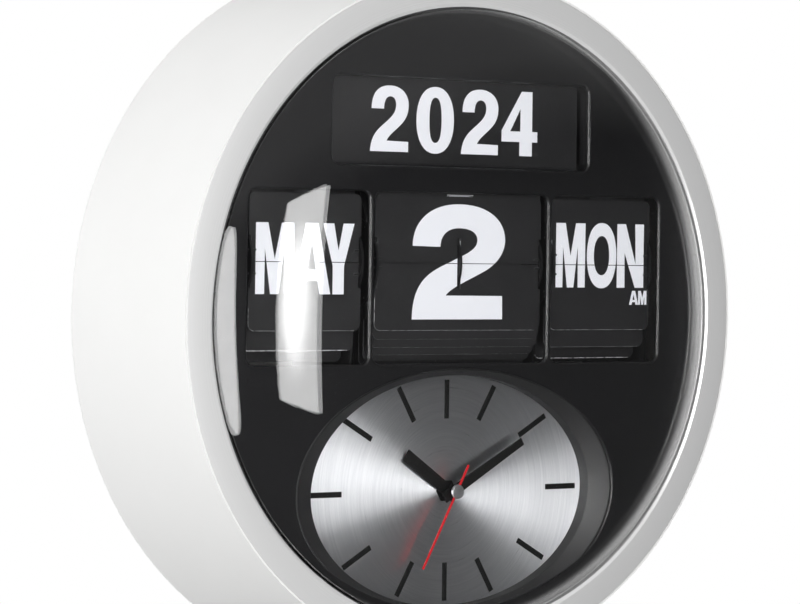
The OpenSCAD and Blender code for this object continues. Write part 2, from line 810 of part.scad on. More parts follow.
// Black plate with its turned-up wall, windows, oval well and bosses
module dial_plate() color("dimgray") from_front() {
    difference() {
        union() {
            turned() polygon(concat([[0, plate_depth]],
                [for (a = [0 : 22.5 : 67.5]) [plate_flat_r + plate_fillet_r * sin(a),
                    plate_depth - plate_fillet_r * (1 - cos(a))]], [
                [dish_wall_r - dish_wall, flange_front + seat_gap], [dish_wall_r, flange_front + seat_gap],
                [dish_wall_r, dish_flange_front], [dish_flange_r, dish_flange_front],
                [dish_flange_r, dish_flange_front + dish_flange_thick],
                [dish_wall_r, dish_flange_front + dish_flange_thick],
                [dish_wall_r - dish_wall, plate_rear], [0, plate_rear]
            ]));
            oval_slab(well_half_w + well_wall, well_half_h + well_wall, plate_rear - join,
                dial_depth - seat_gap);
            box(-year_window_half - year_tunnel_wall, year_window_half + year_tunnel_wall,
                plate_rear - join, year_tunnel_depth, year_window_low - year_tunnel_wall,
                year_window_high + year_tunnel_wall);
            for (s = [-1, 1]) {
                for (z = chassis_ear_z) bar_y(s * chassis_ear_x, plate_rear - join, ear_depth - seat_gap, z,
                    ear_boss_r);
                bar_y(s * bracket_ear_x, plate_rear - join, bracket_front - seat_gap, bracket_ear_z,
                    bracket_boss_r);
            }
        }
        round_box(month_window_left, month_window_right, 0, plate_rear + cut, window_low, window_high,
            window_corner_r);
        round_box(-date_window_half, date_window_half, 0, plate_rear + cut, window_low, window_high,
            window_corner_r);
        round_box(day_window_left, day_window_right, 0, plate_rear + cut, window_low, window_high,
            window_corner_r);
        round_box(-year_window_half, year_window_half, 0, year_tunnel_depth + cut, year_window_low,
            year_window_high, window_corner_r);
        oval_slab(well_half_w, well_half_h, 0, dial_depth + cut);
        for (i = [0 : chamfer_steps - 1]) let (t = (i + 0.5) / chamfer_steps)
            oval_slab(chamfer_half_w + t * (well_half_w - chamfer_half_w),
                chamfer_half_h + t * (well_half_h - chamfer_half_h),
                0, min(plate_depth + (i + 1) / chamfer_steps * (chamfer_depth - plate_depth),
                    plate_rear - chamfer_floor));
        for (a = [0 : 60 : 300]) rotate([0, a, 0])
            bar_y(dish_screw_circle_r, 0, plate_rear, 0, screw_r + seat_gap, $fn = hole_fn);
        for (s = [-1, 1]) {
            for (z = chassis_ear_z) bar_y(s * chassis_ear_x, ear_depth - ear_screw_grip - join,
                ear_depth + cut, z, screw_r + seat_gap, $fn = hole_fn);
            bar_y(s * bracket_ear_x, plate_rear - join, bracket_front + cut, bracket_ear_z,
                screw_r + seat_gap, $fn = hole_fn);
        }
    }
}

// Screws that hold the plate to the case's front flange
module dial_plate_screws() color("lightgray") from_front() for (a = [0 : 60 : 300]) rotate([0, a, 0])
    screw_y(dish_screw_circle_r, 0, flange_rear_depth - dish_screw_grip + free_gap,
        dish_flange_front + dish_flange_thick, screw_r, screw_head_r, screw_head_h);

// Oval aluminium dial
module clock_dial() color("gainsboro") from_front() difference() {
    oval_slab(well_half_w + well_wall, well_half_h + well_wall, dial_depth, dial_rear);
    bar_y(0, 0, dial_rear + cut, dial_z, neck_r + 2 * seat_gap);
}

// Black hour bars, each pointing to the middle of the dial
module hour_markers() color("black") from_front() for (i = [0 : 11]) {
    a = i * 30;
    reach = 1 / sqrt(pow(sin(a) / marker_half_w, 2) + pow(cos(a) / marker_half_h, 2));
    translate([0, dial_depth - marker_thick - marker_gap, dial_z]) rotate([0, a, 0])
        translate([-marker_width / 2, 0, reach - marker_length]) cube([marker_width, marker_thick,
            marker_length]);
}

// Movement and hands

// Quartz movement with its neck through the dial
module movement_case() color("darkslategray") from_front() difference() {
    union() {
        round_box(-movement_width / 2, movement_width / 2, movement_front, movement_rear,
            dial_z - movement_width / 2, dial_z + movement_width / 2, movement_corner_r);
        bar_y(0, hour_depth + hand_thick + free_gap, movement_front + join, dial_z, neck_r);
    }
    bar_y(0, 0, pivot_end + cut, dial_z, hour_pipe_r + shaft_play);
    bar_y(knob_x, movement_rear - knob_stem_grip, movement_rear + cut, dial_z, knob_stem_r + shaft_play);
}

// Black hexagon nut on the movement's neck
module movement_nut() color("black") from_front() difference() {
    bar_y(0, dial_depth - press_gap - nut_thick, dial_depth - press_gap, dial_z, nut_width / 2, $fn = 6);
    bar_y(0, 0, dial_depth + cut, dial_z, neck_r + press_gap);
}

// Flat hand about the dial's centre, from an outline of width and length
module hand(angle, y, thick) translate([0, y + thick, dial_z]) rotate([0, angle, 0]) rotate([90, 0, 0])
    linear_extrude(thick) children();

// Black hour hand on its pipe
module hour_hand() color("black") from_front() difference() {
    union() {
        hand(hour_angle, hour_depth, hand_thick) {
            translate([-hour_width / 2, -hour_tail]) square([hour_width, hour_length + hour_tail]);
            circle(hour_width / 2 + hand_hub);
        }
        bar_y(0, hour_depth, pivot_end - pivot_room - 2 * pipe_step, dial_z, hour_pipe_r);
    }
    bar_y(0, 0, pivot_end + cut, dial_z, minute_pipe_r + shaft_play);
}

// Black minute hand on its pipe
module minute_hand() color("black") from_front() difference() {
    union() {
        hand(minute_angle, minute_depth, hand_thick) {
            polygon([[-minute_width / 2, -minute_tail], [minute_width / 2, -minute_tail],
                [minute_tip / 2, minute_length], [-minute_tip / 2, minute_length]]);
            circle(minute_width / 2 + hand_hub);
        }
        bar_y(0, minute_depth, pivot_end - pivot_room - pipe_step, dial_z, minute_pipe_r);
    }
    bar_y(0, 0, pivot_end + cut, dial_z, second_pivot_r + shaft_play);
}

// Red second hand on its pivot, with the silver cap
module second_hand() color("red") from_front() {
    hand(second_angle, second_depth, second_thick) {
        translate([-second_width / 2, -second_tail]) square([second_width, second_length + second_tail]);
        circle(cap_r - hand_hub);
    }
    bar_y(0, second_depth - cap_height, second_depth, dial_z, cap_r);
    bar_y(0, second_depth, pivot_end - pivot_room, dial_z, second_pivot_r);
}

// Knob that sets the time, on a long stem to the movement
module time_set_knob() color("white") from_front() {
    bar_y(knob_x, movement_rear - knob_stem_grip + free_gap, pocket_floor + free_gap + join, dial_z,
        knob_stem_r);
    difference() {
        bar_y(knob_x, pocket_floor + free_gap, case_depth - pivot_room, dial_z, knob_r);
        for (i = [0 : flutes - 1]) translate([knob_x, 0, dial_z]) rotate([0, 360 * i / flutes, 0])
            bar_y(knob_r + flute_r / 3, pocket_floor, case_depth, 0, flute_r, $fn = 16);
    }
}

// Calendar works

// Side plates, rails and studs that carry the drums
module flap_chassis() color("slategray") from_front() {
    difference() {
        union() {
            for (x = [-outer_side_x, -inner_side_x, inner_side_x, outer_side_x]) {
                box(x - side_thick / 2, x + side_thick / 2, chassis_front, chassis_rear, chassis_low,
                    chassis_mid);
                box(x - side_thick / 2, x + side_thick / 2, tower_front, chassis_rear, chassis_mid - join,
                    chassis_high);
            }
            box(-outer_side_x, outer_side_x, low_rail_depth, low_rail_depth + rail_width, chassis_low,
                chassis_low + low_rail_height);
            box(-outer_side_x, outer_side_x, high_rail_depth, high_rail_depth + rail_width,
                chassis_high - high_rail_height, chassis_high);
            for (s = [-1, 1], z = chassis_ear_z)
                box(min(s * outer_side_x, s * (chassis_ear_x + ear_half)),
                    max(s * outer_side_x, s * (chassis_ear_x + ear_half)),
                    ear_depth, ear_depth + ear_thick, z - ear_half, z + ear_half);
            bar_x(-outer_side_x, month_gear_x + gear_thick, wheel_depth, split_z, stud_r);
            bar_x(date_gear_x, inner_side_x, wheel_depth, split_z, stud_r);
            bar_x(date_gear_x, inner_side_x, wheel_depth, idler_z, stud_r);
            bar_x(day_gear_x, outer_side_x, wheel_depth, split_z, stud_r);
        }
        bar_x(-2 * outer_side_x, 2 * outer_side_x, drum_depth, split_z, axle_r + axle_play);
        for (s = [-1, 1]) bar_x(s * outer_side_x - side_thick, s * outer_side_x + side_thick, wheel_depth,
            pinion_z, motor_hole_r);
        bar_x(inner_side_x - side_thick, inner_side_x + side_thick, wheel_depth, date_pinion_z,
            motor_hole_r);
        for (s = [-1, 1], z = chassis_ear_z) bar_y(s * chassis_ear_x, ear_depth - cut,
            ear_depth + ear_thick + cut, z, screw_r + seat_gap, $fn = hole_fn);
    }
}

// Screws that hold the chassis and the year bracket to the plate
module bracket_screws() color("lightgray") from_front() for (s = [-1, 1]) {
    for (z = chassis_ear_z) screw_y(s * chassis_ear_x, z, ear_depth - ear_screw_grip,
        ear_depth + ear_thick, screw_r,
        screw_head_r, screw_head_h);
    screw_y(s * bracket_ear_x, bracket_ear_z, plate_rear - free_gap, bracket_front + side_thick, screw_r,
        screw_head_r, screw_head_h);
}

// Steel axle that all three drums turn on
module drum_axle() color("lightgray") from_front()
    bar_x(-outer_side_x - 2 * side_thick, outer_side_x + 2 * side_thick, drum_depth, split_z, axle_r);

// Leaf springs that hold back the front flap at the top of each window
module flap_catches() color("silver") from_front() for (x = [month_x, 0, day_x])
    box(x - catch_width / 2, x + catch_width / 2, plate_rear + axle_play,
        plate_rear + axle_play + catch_thick, split_z + flap_half + free_gap,
        split_z + flap_half + free_gap + catch_height);

// Motors that turn the drums
module drive_motors() color("lightgray") from_front() {
    motor(-outer_side_x - side_thick / 2 - seat_gap - motor_length, pinion_z, 1);
    motor(outer_side_x + side_thick / 2 + seat_gap, pinion_z, 0);
    motor(inner_side_x + side_thick / 2 + seat_gap, date_pinion_z, 0);
}

// Motor can with a bore for its shaft at one end
module motor(x, z, far) difference() {
    union() {
        bar_x(x, x + motor_length, wheel_depth, z, motor_r);
        bar_x(far ? x - motor_boss_h : x + motor_length - join,
            far ? x + join : x + motor_length + motor_boss_h, wheel_depth, z, motor_boss_r);
    }
    bar_x(far ? x + motor_length - motor_bore : x - cut, far ? x + motor_length + cut : x + motor_bore,
        wheel_depth, z, shaft_r + shaft_play);
}

// Month drum with its gear
module month_drum() color("dimgray") from_front() drum(month_x, month_half, month_flaps, month_gear_x);
// Month setting wheel
module month_setting_wheel() color("whitesmoke") from_front()
    stud_wheel(wheel_teeth, 180 / wheel_teeth, month_gear_x, wheel_depth, split_z);
// Month motor pinion
module month_pinion() color("whitesmoke") from_front()
    pinion(-90, month_gear_x, pinion_z, -outer_side_x - shaft_reach, month_gear_x + join);
// Month flap in front, about to fall
module month_falling_flap() color("black") from_front()
    flap(month_x, month_half, month_flaps, step(month_flaps) / 2, 0);
// Month flap behind it
module month_next_flap() color("black") from_front()
    flap(month_x, month_half, month_flaps, 1.5 * step(month_flaps), 0);
// Month flap that shows the lower half
module month_lower_flap() color("black") from_front()
    flap(month_x, month_half, month_flaps, -0.5 * step(month_flaps), 180);
// Month flap that hangs below and behind it
module month_second_flap() color("black") from_front()
    flap(month_x, month_half, month_flaps, -1.5 * step(month_flaps), 180);
// The other month flaps
module month_flap_pack() color("black") from_front()
    flap_pack(month_x, month_half, month_flaps, 2, month_flaps - 3, month_lean);

// Date drum with its gear and a middle flange
module date_drum() color("dimgray") from_front() drum(0, date_half, date_flaps, date_gear_x, true);
// Date setting wheel
module date_setting_wheel() color("whitesmoke") from_front()
    stud_wheel(wheel_teeth, 180 / wheel_teeth, date_gear_x, wheel_depth, split_z);
// Idler between the date setting wheel and its pinion
module date_idler() color("whitesmoke") from_front()
    stud_wheel(idler_teeth, 90, date_gear_x, wheel_depth, idler_z);
// Date motor pinion
module date_pinion() color("whitesmoke") from_front()
    pinion(-90 + 180 / pinion_teeth, date_gear_x, date_pinion_z, date_gear_x + gear_thick - join,
        inner_side_x + shaft_reach);
// Date flap in front, about to fall
module date_falling_flap() color("black") from_front()
    flap(0, date_half, date_flaps, step(date_flaps) / 2, 0, true);
// Date flap behind it
module date_next_flap() color("black") from_front()
    flap(0, date_half, date_flaps, 1.5 * step(date_flaps), 0, true);
// Date flap that shows the lower half
module date_lower_flap() color("black") from_front()
    flap(0, date_half, date_flaps, -0.5 * step(date_flaps), 180, true);
// Date flaps that hang below and behind it
module date_second_flap() color("black") from_front()
    flap(0, date_half, date_flaps, -1.5 * step(date_flaps), 180, true);
module date_third_flap() color("black") from_front()
    flap(0, date_half, date_flaps, -2.5 * step(date_flaps), 180, true);
module date_fourth_flap() color("black") from_front()
    flap(0, date_half, date_flaps, -3.5 * step(date_flaps), 180, true);
// The other date flaps
module date_flap_pack() color("black") from_front()
    flap_pack(0, date_half, date_flaps, 2, date_flaps - 5, date_lean, true);

// Day drum with its gear
module day_drum() color("dimgray") from_front() drum(day_x, day_half, day_flaps, day_gear_x);
// Day setting wheel
module day_setting_wheel() color("whitesmoke") from_front()
    stud_wheel(wheel_teeth, 180 / wheel_teeth, day_gear_x, wheel_depth, split_z);
// Day motor pinion
module day_pinion() color("whitesmoke") from_front()
    pinion(-90, day_gear_x, pinion_z, day_gear_x + gear_thick - join, outer_side_x + shaft_reach);
// Day flap in front, about to fall
module day_falling_flap() color("black") from_front()
    flap(day_x, day_half, day_flaps, step(day_flaps) / 2, 0);
// Day flap behind it
module day_next_flap() color("black") from_front()
    flap(day_x, day_half, day_flaps, 1.5 * step(day_flaps), 0);
// Day flap that shows the lower half
module day_lower_flap() color("black") from_front()
    flap(day_x, day_half, day_flaps, -0.5 * step(day_flaps), 180);
// Day flaps that hang below and behind it
module day_second_flap() color("black") from_front()
    flap(day_x, day_half, day_flaps, -1.5 * step(day_flaps), 180);
module day_third_flap() color("black") from_front()
    flap(day_x, day_half, day_flaps, -2.5 * step(day_flaps), 180);
// The other day flaps
module day_flap_pack() color("black") from_front()
    flap_pack(day_x, day_half, day_flaps, 2, day_flaps - 4, day_lean);

// Year band

// Bracket with the bearings of the rolls and the studs of the year gears
module year_bracket() color("slategray") from_front() {
    difference() {
        union() {
            for (s = [-1, 1]) {
                box(s * bracket_x - side_thick / 2, s * bracket_x + side_thick / 2, bracket_front,
                    bracket_rear, bracket_low, bracket_high);
                box(min(s * bracket_x, s * (bracket_ear_x + bracket_ear_end)),
                    max(s * bracket_x, s * (bracket_ear_x + bracket_ear_end)), bracket_front,
                    bracket_front + side_thick, bracket_ear_z - ear_half, bracket_ear_z + ear_half);
            }
            box(bracket_x - side_thick / 2, bracket_x + side_thick / 2, bracket_rear - join, arm_rear,
                upper_roll_z - arm_drop, bracket_high);
            box(-bracket_x, bracket_x, bracket_rear - side_thick, bracket_rear, bracket_ear_z - cross_half,
                bracket_ear_z + cross_half);
            for (y = [year_idler_depth, year_wheel_depth]) bar_x(bracket_x, year_gear_x + gear_thick, y,
                upper_roll_z, stud_r);
        }
        for (z = [lower_roll_z, upper_roll_z])
            bar_x(-2 * bracket_x, 2 * bracket_x, roll_depth, z, roll_journal_r + shaft_play);
        for (s = [-1, 1]) bar_y(s * bracket_ear_x, 0, bracket_front + side_thick + cut, bracket_ear_z,
            screw_r + seat_gap, $fn = hole_fn);
    }
}

// Printed band between the rolls, with its ends laid around them
module year_band() color("black") from_front() {
    r = roll_r + free_gap;
    box(-band_half, band_half, roll_depth - r - band_thick, roll_depth - r, lower_roll_z, upper_roll_z);
    for (z = [lower_roll_z, upper_roll_z]) intersection() {
        difference() {
            bar_x(-band_half, band_half, roll_depth, z, r + band_thick);
            bar_x(-band_half - cut, band_half + cut, roll_depth, z, r);
        }
        box(-band_half, band_half, roll_depth - 2 * r, roll_depth,
            z == lower_roll_z ? z - 2 * r : z, z == lower_roll_z ? z : z + 2 * r);
    }
}

// Roll for the band, with journals in the bracket
module roll(z, end) {
    bar_x(-band_half, band_half, roll_depth, z, roll_r);
    bar_x(-bracket_x - journal_reach, end, roll_depth, z, roll_journal_r);
}
// Upper roll with its gear
module year_upper_roll() color("whitesmoke") from_front() {
    roll(upper_roll_z, year_gear_x + gear_thick);
    gear(roll_teeth, 0, year_gear_x, roll_depth, upper_roll_z);
}
// Lower roll
module year_lower_roll() color("whitesmoke") from_front() roll(lower_roll_z, bracket_x + journal_reach);
// Idler between the upper roll and the year setting wheel
module year_idler() color("whitesmoke") from_front()
    stud_wheel(year_teeth, 180 / year_teeth, year_gear_x, year_idler_depth, upper_roll_z);
// Year setting wheel
module year_setting_wheel() color("whitesmoke") from_front()
    stud_wheel(year_teeth, 0, year_gear_x, year_wheel_depth, upper_roll_z);

// Back

// Pocket in the rear cover with its floor and walls
module pocket(x0, x1, z0, z1) difference() {
    box(x0 - pocket_wall, x1 + pocket_wall, pocket_floor - cover_thick, cover_front + join,
        z0 - pocket_wall, z1 + pocket_wall);
    box(x0, x1, pocket_floor, case_depth + cut, z0, z1);
}

// Rear cover with the pockets for the setting wheels and the knob
module rear_cover() color("white") from_front() {
    difference() {
        union() {
            difference() {
                bar_y(0, cover_front, case_depth, 0, cover_r, $fn = 180);
                box(-trough_half, trough_half, cover_front - cut, case_depth + cut, trough_low,
                    trough_high);
                box(year_pocket_left, year_pocket_right, cover_front - cut, case_depth + cut,
                    year_pocket_low, year_pocket_high);
                bar_y(knob_x, cover_front - cut, case_depth + cut, dial_z, knob_pocket_r);
                round_box(-keyhole_opening, keyhole_opening, cover_front - cut, case_depth + cut,
                    keyhole_z - keyhole_room[0], keyhole_z + keyhole_room[1], hanger_corner_r);
                box(bay_left, bay_right, cover_front - cut, case_depth + cut, bay_low, bay_high);
            }
            pocket(-trough_half, trough_half, trough_low, trough_high);
            pocket(year_pocket_left, year_pocket_right, year_pocket_low, year_pocket_high);
            difference() {
                bar_y(knob_x, pocket_floor - cover_thick, cover_front + join, dial_z,
                    knob_pocket_r + pocket_wall);
                bar_y(knob_x, pocket_floor, case_depth + cut, dial_z, knob_pocket_r);
            }
            for (x = board_x, z = board_z) bar_y(x, board_depth + board_thick + press_gap,
                cover_front + join, z, board_post_r);
        }
        for (a = [30 : 60 : 330]) rotate([0, a, 0]) {
            bar_y(cover_screw_circle_r, cover_front - cut, case_depth + cut, 0, screw_r + seat_gap,
                $fn = hole_fn);
            bar_y(cover_screw_circle_r, case_depth - screw_head_h - 2 * seat_gap, case_depth + cut, 0,
                screw_head_r + free_gap, $fn = 32);
        }
        for (x = [month_gear_x, date_gear_x, day_gear_x])
            box(x - slot_room, x + gear_thick + slot_room, pocket_floor - cover_thick - cut,
                pocket_floor + cut, split_z - slot_half, split_z + slot_half);
        box(year_gear_x - slot_room, year_gear_x + gear_thick + slot_room, pocket_floor - cover_thick - cut,
            pocket_floor + cut,
            upper_roll_z - slot_half, upper_roll_z + slot_half);
        bar_y(knob_x, 0, pocket_floor + cut, dial_z, knob_stem_r + shaft_play);
        bar_x(bay_left - door_pin_length - seat_gap, bay_right + door_pin_length + seat_gap,
            door_hinge_depth, door_hinge_z, door_pin_r + shaft_play, $fn = hole_fn);
        for (s = [-1, 1]) bar_y(s * hanger_screw_x, cover_front - cut,
            case_depth - rivet_inset + 2 * seat_gap, keyhole_z, screw_r + seat_gap, $fn = hole_fn);
    }
}

// Screws of the rear cover
module rear_cover_screws() color("lightgray") from_front() for (a = [30 : 60 : 330]) rotate([0, a, 0])
    screw_y(cover_screw_circle_r, 0, cover_front - cover_screw_length + join,
        case_depth - screw_head_h - seat_gap, screw_r, screw_head_r, screw_head_h);

// Steel plate with the keyhole that the clock hangs on, and its two rivets
module hanger_plate() color("silver") from_front() {
    rear = cover_front - press_gap;
    difference() {
        round_box(-hanger_half, hanger_half, rear - hanger_thick, rear, keyhole_z - hanger_reach[0],
            keyhole_z + hanger_reach[1], hanger_corner_r);
        bar_y(0, 0, case_depth, keyhole_z, keyhole_r);
        box(-keyhole_slot / 2, keyhole_slot / 2, 0, case_depth, keyhole_z, keyhole_z + keyhole_slot_length);
        bar_y(0, 0, case_depth, keyhole_z + keyhole_slot_length, keyhole_slot / 2);
    }
    for (s = [-1, 1]) bar_y(s * hanger_screw_x, rear - hanger_thick - rivet_head, case_depth - rivet_inset,
        keyhole_z, screw_r);
}

// Tray for the two cells
module battery_tray() color("whitesmoke") from_front() difference() {
    box(bay_left - bay_wall, bay_right + bay_wall, bay_depth - bay_wall, cover_front - seat_gap,
        bay_low - bay_wall, bay_high + bay_wall);
    box(bay_left, bay_right, bay_depth, case_depth, bay_low, bay_high);
}

// Two D cells, the second one turned around
module battery_cells() color("darkgoldenrod") from_front() for (s = [-1, 1]) {
    z = cell_mid_z + s * cell_rise;
    can_half = cell_length / 2 - can_inset;
    bar_x(cell_mid_x - can_half, cell_mid_x + can_half, cell_depth, z, cell_r);
    translate([cell_mid_x, 0, 0]) scale([s, 1, 1]) bar_x(can_half - join, can_half + pole_height / 2,
        cell_depth, z, pole_r);
}

// Contact plates and coil springs of the bay
module battery_contacts() color("gold") from_front() for (s = [-1, 1]) {
    z = cell_mid_z + s * cell_rise;
    for (x = [bay_left + seat_gap, bay_right - seat_gap - contact_thick])
        box(x, x + contact_thick, cell_depth - contact_half, cell_depth + contact_half, z - contact_half,
            z + contact_half);
    foot = s > 0 ? bay_left + seat_gap + contact_thick : bay_right - seat_gap - contact_thick;
    for (i = [0 : spring_turns - 1])
        translate([foot + s * (spring_wire_r / 2 + i * spring_pitch), cell_depth, z]) rotate([0, 90, 0])
            rotate_extrude($fn = 48) translate([spring_r - i, 0]) circle(spring_wire_r, $fn = 16);
}

// Battery door with a finger notch
module battery_door() color("white") from_front() {
    difference() {
        union() {
            box(bay_left + free_gap, bay_right - free_gap, case_depth - door_thick, case_depth,
                door_hinge_z, bay_high - free_gap);
            bar_x(bay_left + free_gap, bay_right - free_gap, door_hinge_depth, door_hinge_z,
                door_thick / 2);
        }
        bar_x(cell_mid_x - grip_half, cell_mid_x + grip_half, case_depth + grip_rise,
            bay_high - grip_inset, grip_r);
    }
    bar_x(bay_left - door_pin_length, bay_left + free_gap + join, door_hinge_depth, door_hinge_z,
        door_pin_r, $fn = hole_fn);
    bar_x(bay_right - free_gap - join, bay_right + door_pin_length, door_hinge_depth, door_hinge_z,
        door_pin_r, $fn = hole_fn);
}

// Control board with its chip, driver, capacitor and connectors
module control_board() color("darkgreen") from_front() {
    difference() {
        box(board_x[0] - board_edge, board_x[1] + board_edge, board_depth, board_depth + board_thick,
            board_z[0] - board_edge, board_z[1] + board_edge);
        for (x = board_x, z = board_z) bar_y(x, 0, case_depth, z, screw_r + seat_gap, $fn = hole_fn);
    }
    root = board_depth + component_root;
    box(chip_at[0] - chip_size / 2, chip_at[0] + chip_size / 2, board_depth - chip_height, root,
        chip_at[1] - chip_size / 2, chip_at[1] + chip_size / 2);
    box(driver_at[0] - driver_size[0] / 2, driver_at[0] + driver_size[0] / 2, board_depth - driver_height,
        root, driver_at[1] - driver_size[1] / 2, driver_at[1] + driver_size[1] / 2);
    bar_y(capacitor_at[0], board_depth - capacitor_height, root, capacitor_at[1], capacitor_r);
    for (z = connector_z) box(connector_x - connector_half, connector_x + connector_half,
        board_depth - connector_height, root, z - connector_half, z + connector_half);
}

case_shell();
front_ring();
crystal();
dial_plate();
dial_plate_screws();
clock_dial();
hour_markers();
movement_case();
movement_nut();
hour_hand();
minute_hand();
second_hand();
time_set_knob();
flap_chassis();
bracket_screws();
drum_axle();
flap_catches();
drive_motors();
month_drum();
month_setting_wheel();
month_pinion();
month_falling_flap();
month_next_flap();
month_lower_flap();
month_second_flap();
month_flap_pack();
date_drum();
date_setting_wheel();
date_idler();
date_pinion();
date_falling_flap();
date_next_flap();
date_lower_flap();
date_second_flap();
date_third_flap();
date_fourth_flap();
date_flap_pack();
day_drum();
day_setting_wheel();
day_pinion();
day_falling_flap();
day_next_flap();
day_lower_flap();
day_second_flap();
day_third_flap();
day_flap_pack();
year_bracket();
year_band();
year_upper_roll();
year_lower_roll();
year_idler();
year_setting_wheel();
rear_cover();
rear_cover_screws();
hanger_plate();
battery_tray();
battery_cells();
battery_contacts();
battery_door();
control_board();
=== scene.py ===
# Flip calendar wall clock: white case, silver ring, domed crystal, year band, split flaps and an oval dial.
# The file follows the clock as it is put together, from the case to the crystal. Sizes are in millimetres,
# and a depth is counted from the front of the case towards the wall.
import json
import math

import bmesh
import bpy
from mathutils import Matrix, Vector


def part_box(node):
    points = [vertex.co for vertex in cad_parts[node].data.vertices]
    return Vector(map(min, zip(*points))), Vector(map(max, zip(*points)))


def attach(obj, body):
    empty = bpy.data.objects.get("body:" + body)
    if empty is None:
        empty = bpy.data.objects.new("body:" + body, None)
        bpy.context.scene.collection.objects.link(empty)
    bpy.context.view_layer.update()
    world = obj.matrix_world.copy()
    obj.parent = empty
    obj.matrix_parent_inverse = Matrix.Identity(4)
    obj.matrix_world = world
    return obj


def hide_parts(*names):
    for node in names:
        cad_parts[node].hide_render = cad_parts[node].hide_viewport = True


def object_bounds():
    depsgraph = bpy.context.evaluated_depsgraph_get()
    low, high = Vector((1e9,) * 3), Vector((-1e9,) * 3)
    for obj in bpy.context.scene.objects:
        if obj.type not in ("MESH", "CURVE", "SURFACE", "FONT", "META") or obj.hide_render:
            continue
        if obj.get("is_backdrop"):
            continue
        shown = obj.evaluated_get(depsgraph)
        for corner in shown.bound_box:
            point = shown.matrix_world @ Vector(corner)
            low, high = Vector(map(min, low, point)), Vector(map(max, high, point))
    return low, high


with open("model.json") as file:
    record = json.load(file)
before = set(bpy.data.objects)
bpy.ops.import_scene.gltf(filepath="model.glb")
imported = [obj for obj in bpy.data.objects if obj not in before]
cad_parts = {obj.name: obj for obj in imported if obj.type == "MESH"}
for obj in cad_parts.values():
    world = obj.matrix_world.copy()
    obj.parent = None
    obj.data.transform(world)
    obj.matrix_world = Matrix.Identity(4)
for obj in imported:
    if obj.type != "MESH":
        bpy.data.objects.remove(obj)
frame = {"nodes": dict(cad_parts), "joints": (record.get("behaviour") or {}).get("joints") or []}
cad_box = [list(corner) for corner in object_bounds()]
scene = bpy.context.scene
scene.view_settings.view_transform = "Standard"

# Camera: stands left of the clock, almost level with it, with a long lens.
# Its place and lens come from the ellipses that the case and the ring draw in the photograph.
yaw, pitch, roll = (math.radians(angle) for angle in (36.6436, -0.8995, 0.7962))
forward = Vector((math.sin(yaw) * math.cos(pitch), math.cos(yaw) * math.cos(pitch), math.sin(pitch)))
level = Vector((math.cos(yaw), -math.sin(yaw), 0))
upright = level.cross(forward)
right = math.cos(roll) * level + math.sin(roll) * upright
up = math.cos(roll) * upright - math.sin(roll) * level
camera = bpy.data.objects.new("camera", bpy.data.cameras.new("camera"))
scene.collection.objects.link(camera)
film_width, focal_length, stand = 36, 150.04, (-1.12427, -1.53893, 0.03694)
camera.data.sensor_width = film_width
camera.data.lens = focal_length
turn = Matrix((right, up, -forward)).transposed().to_4x4()
camera.matrix_world = Matrix.Translation(stand) @ turn
scene.camera = camera


# Studio: white behind and a little above the clock, and dark in front of it, so that the crystal stays clear.
# In the crystal's mirror the white wall ends at a dim ceiling.
def add_node(tree, kind, sockets=None, **settings):
    """Adds a node; sockets maps an input to a value or to the output that feeds it."""
    made = tree.nodes.new(kind)
    for name, value in settings.items():
        setattr(made, name, value)
    for name, value in (sockets or {}).items():
        if isinstance(value, bpy.types.NodeSocket):
            tree.links.new(value, made.inputs[name])
        else:
            made.inputs[name].default_value = value
    return made


def tint(code):
    """An sRGB hex colour as linear RGBA."""
    parts = [int(code[i:i + 2], 16) / 255 for i in (0, 2, 4)]
    return [c / 12.92 if c <= 0.04045 else ((c + 0.055) / 1.055) ** 2.4 for c in parts] + [1]


world = bpy.data.worlds.new("studio")
scene.world = world
world.use_nodes = True
tree = world.node_tree
tree.nodes.clear()
direction = add_node(tree, "ShaderNodeTexCoord").outputs["Generated"]
behind = add_node(tree, "ShaderNodeVectorMath", {0: direction, 1: (0, 1, 0.27)}, operation="DOT_PRODUCT")
wall_light = add_node(tree, "ShaderNodeMapRange", {
    "Value": behind.outputs["Value"], "From Min": -0.04, "From Max": 0.16, "To Min": 0.05, "To Max": 1.2,
}, interpolation_type="SMOOTHSTEP")
toward = add_node(tree, "ShaderNodeSeparateXYZ", {0: direction}).outputs
wall = add_node(tree, "ShaderNodeMapRange", {
    "Value": toward["Y"], "From Min": -0.04, "From Max": 0.16, "To Min": 0.05, "To Max": 1.0,
}, interpolation_type="SMOOTHSTEP").outputs[0]
below = add_node(tree, "ShaderNodeMapRange", {
    "Value": toward["Z"], "From Min": 0.05, "From Max": 0.45, "To Min": 1.0, "To Max": 0.1,
}, interpolation_type="SMOOTHSTEP").outputs[0]
ceiling = add_node(tree, "ShaderNodeMapRange", {
    "Value": toward["Z"], "From Min": 0.3, "From Max": 0.6, "To Max": 0.22}).outputs[0]
low_wall = add_node(tree, "ShaderNodeMath", {0: wall, 1: below}, operation="MULTIPLY").outputs[0]
room = add_node(tree, "ShaderNodeMath", {0: low_wall, 1: ceiling}, operation="MAXIMUM").outputs[0]
path = add_node(tree, "ShaderNodeLightPath").outputs
lit = add_node(tree, "ShaderNodeMix", {
    "Factor": path["Is Diffuse Ray"], "A": room, "B": wall_light.outputs[0]}).outputs[0]
white = add_node(tree, "ShaderNodeMix", {"Factor": path["Is Camera Ray"], "A": lit, "B": 1.0})
studio = add_node(tree, "ShaderNodeBackground", {"Color": tint("FFFFFF"), "Strength": white.outputs[0]})
add_node(tree, "ShaderNodeOutputWorld", {"Surface": studio.outputs[0]})

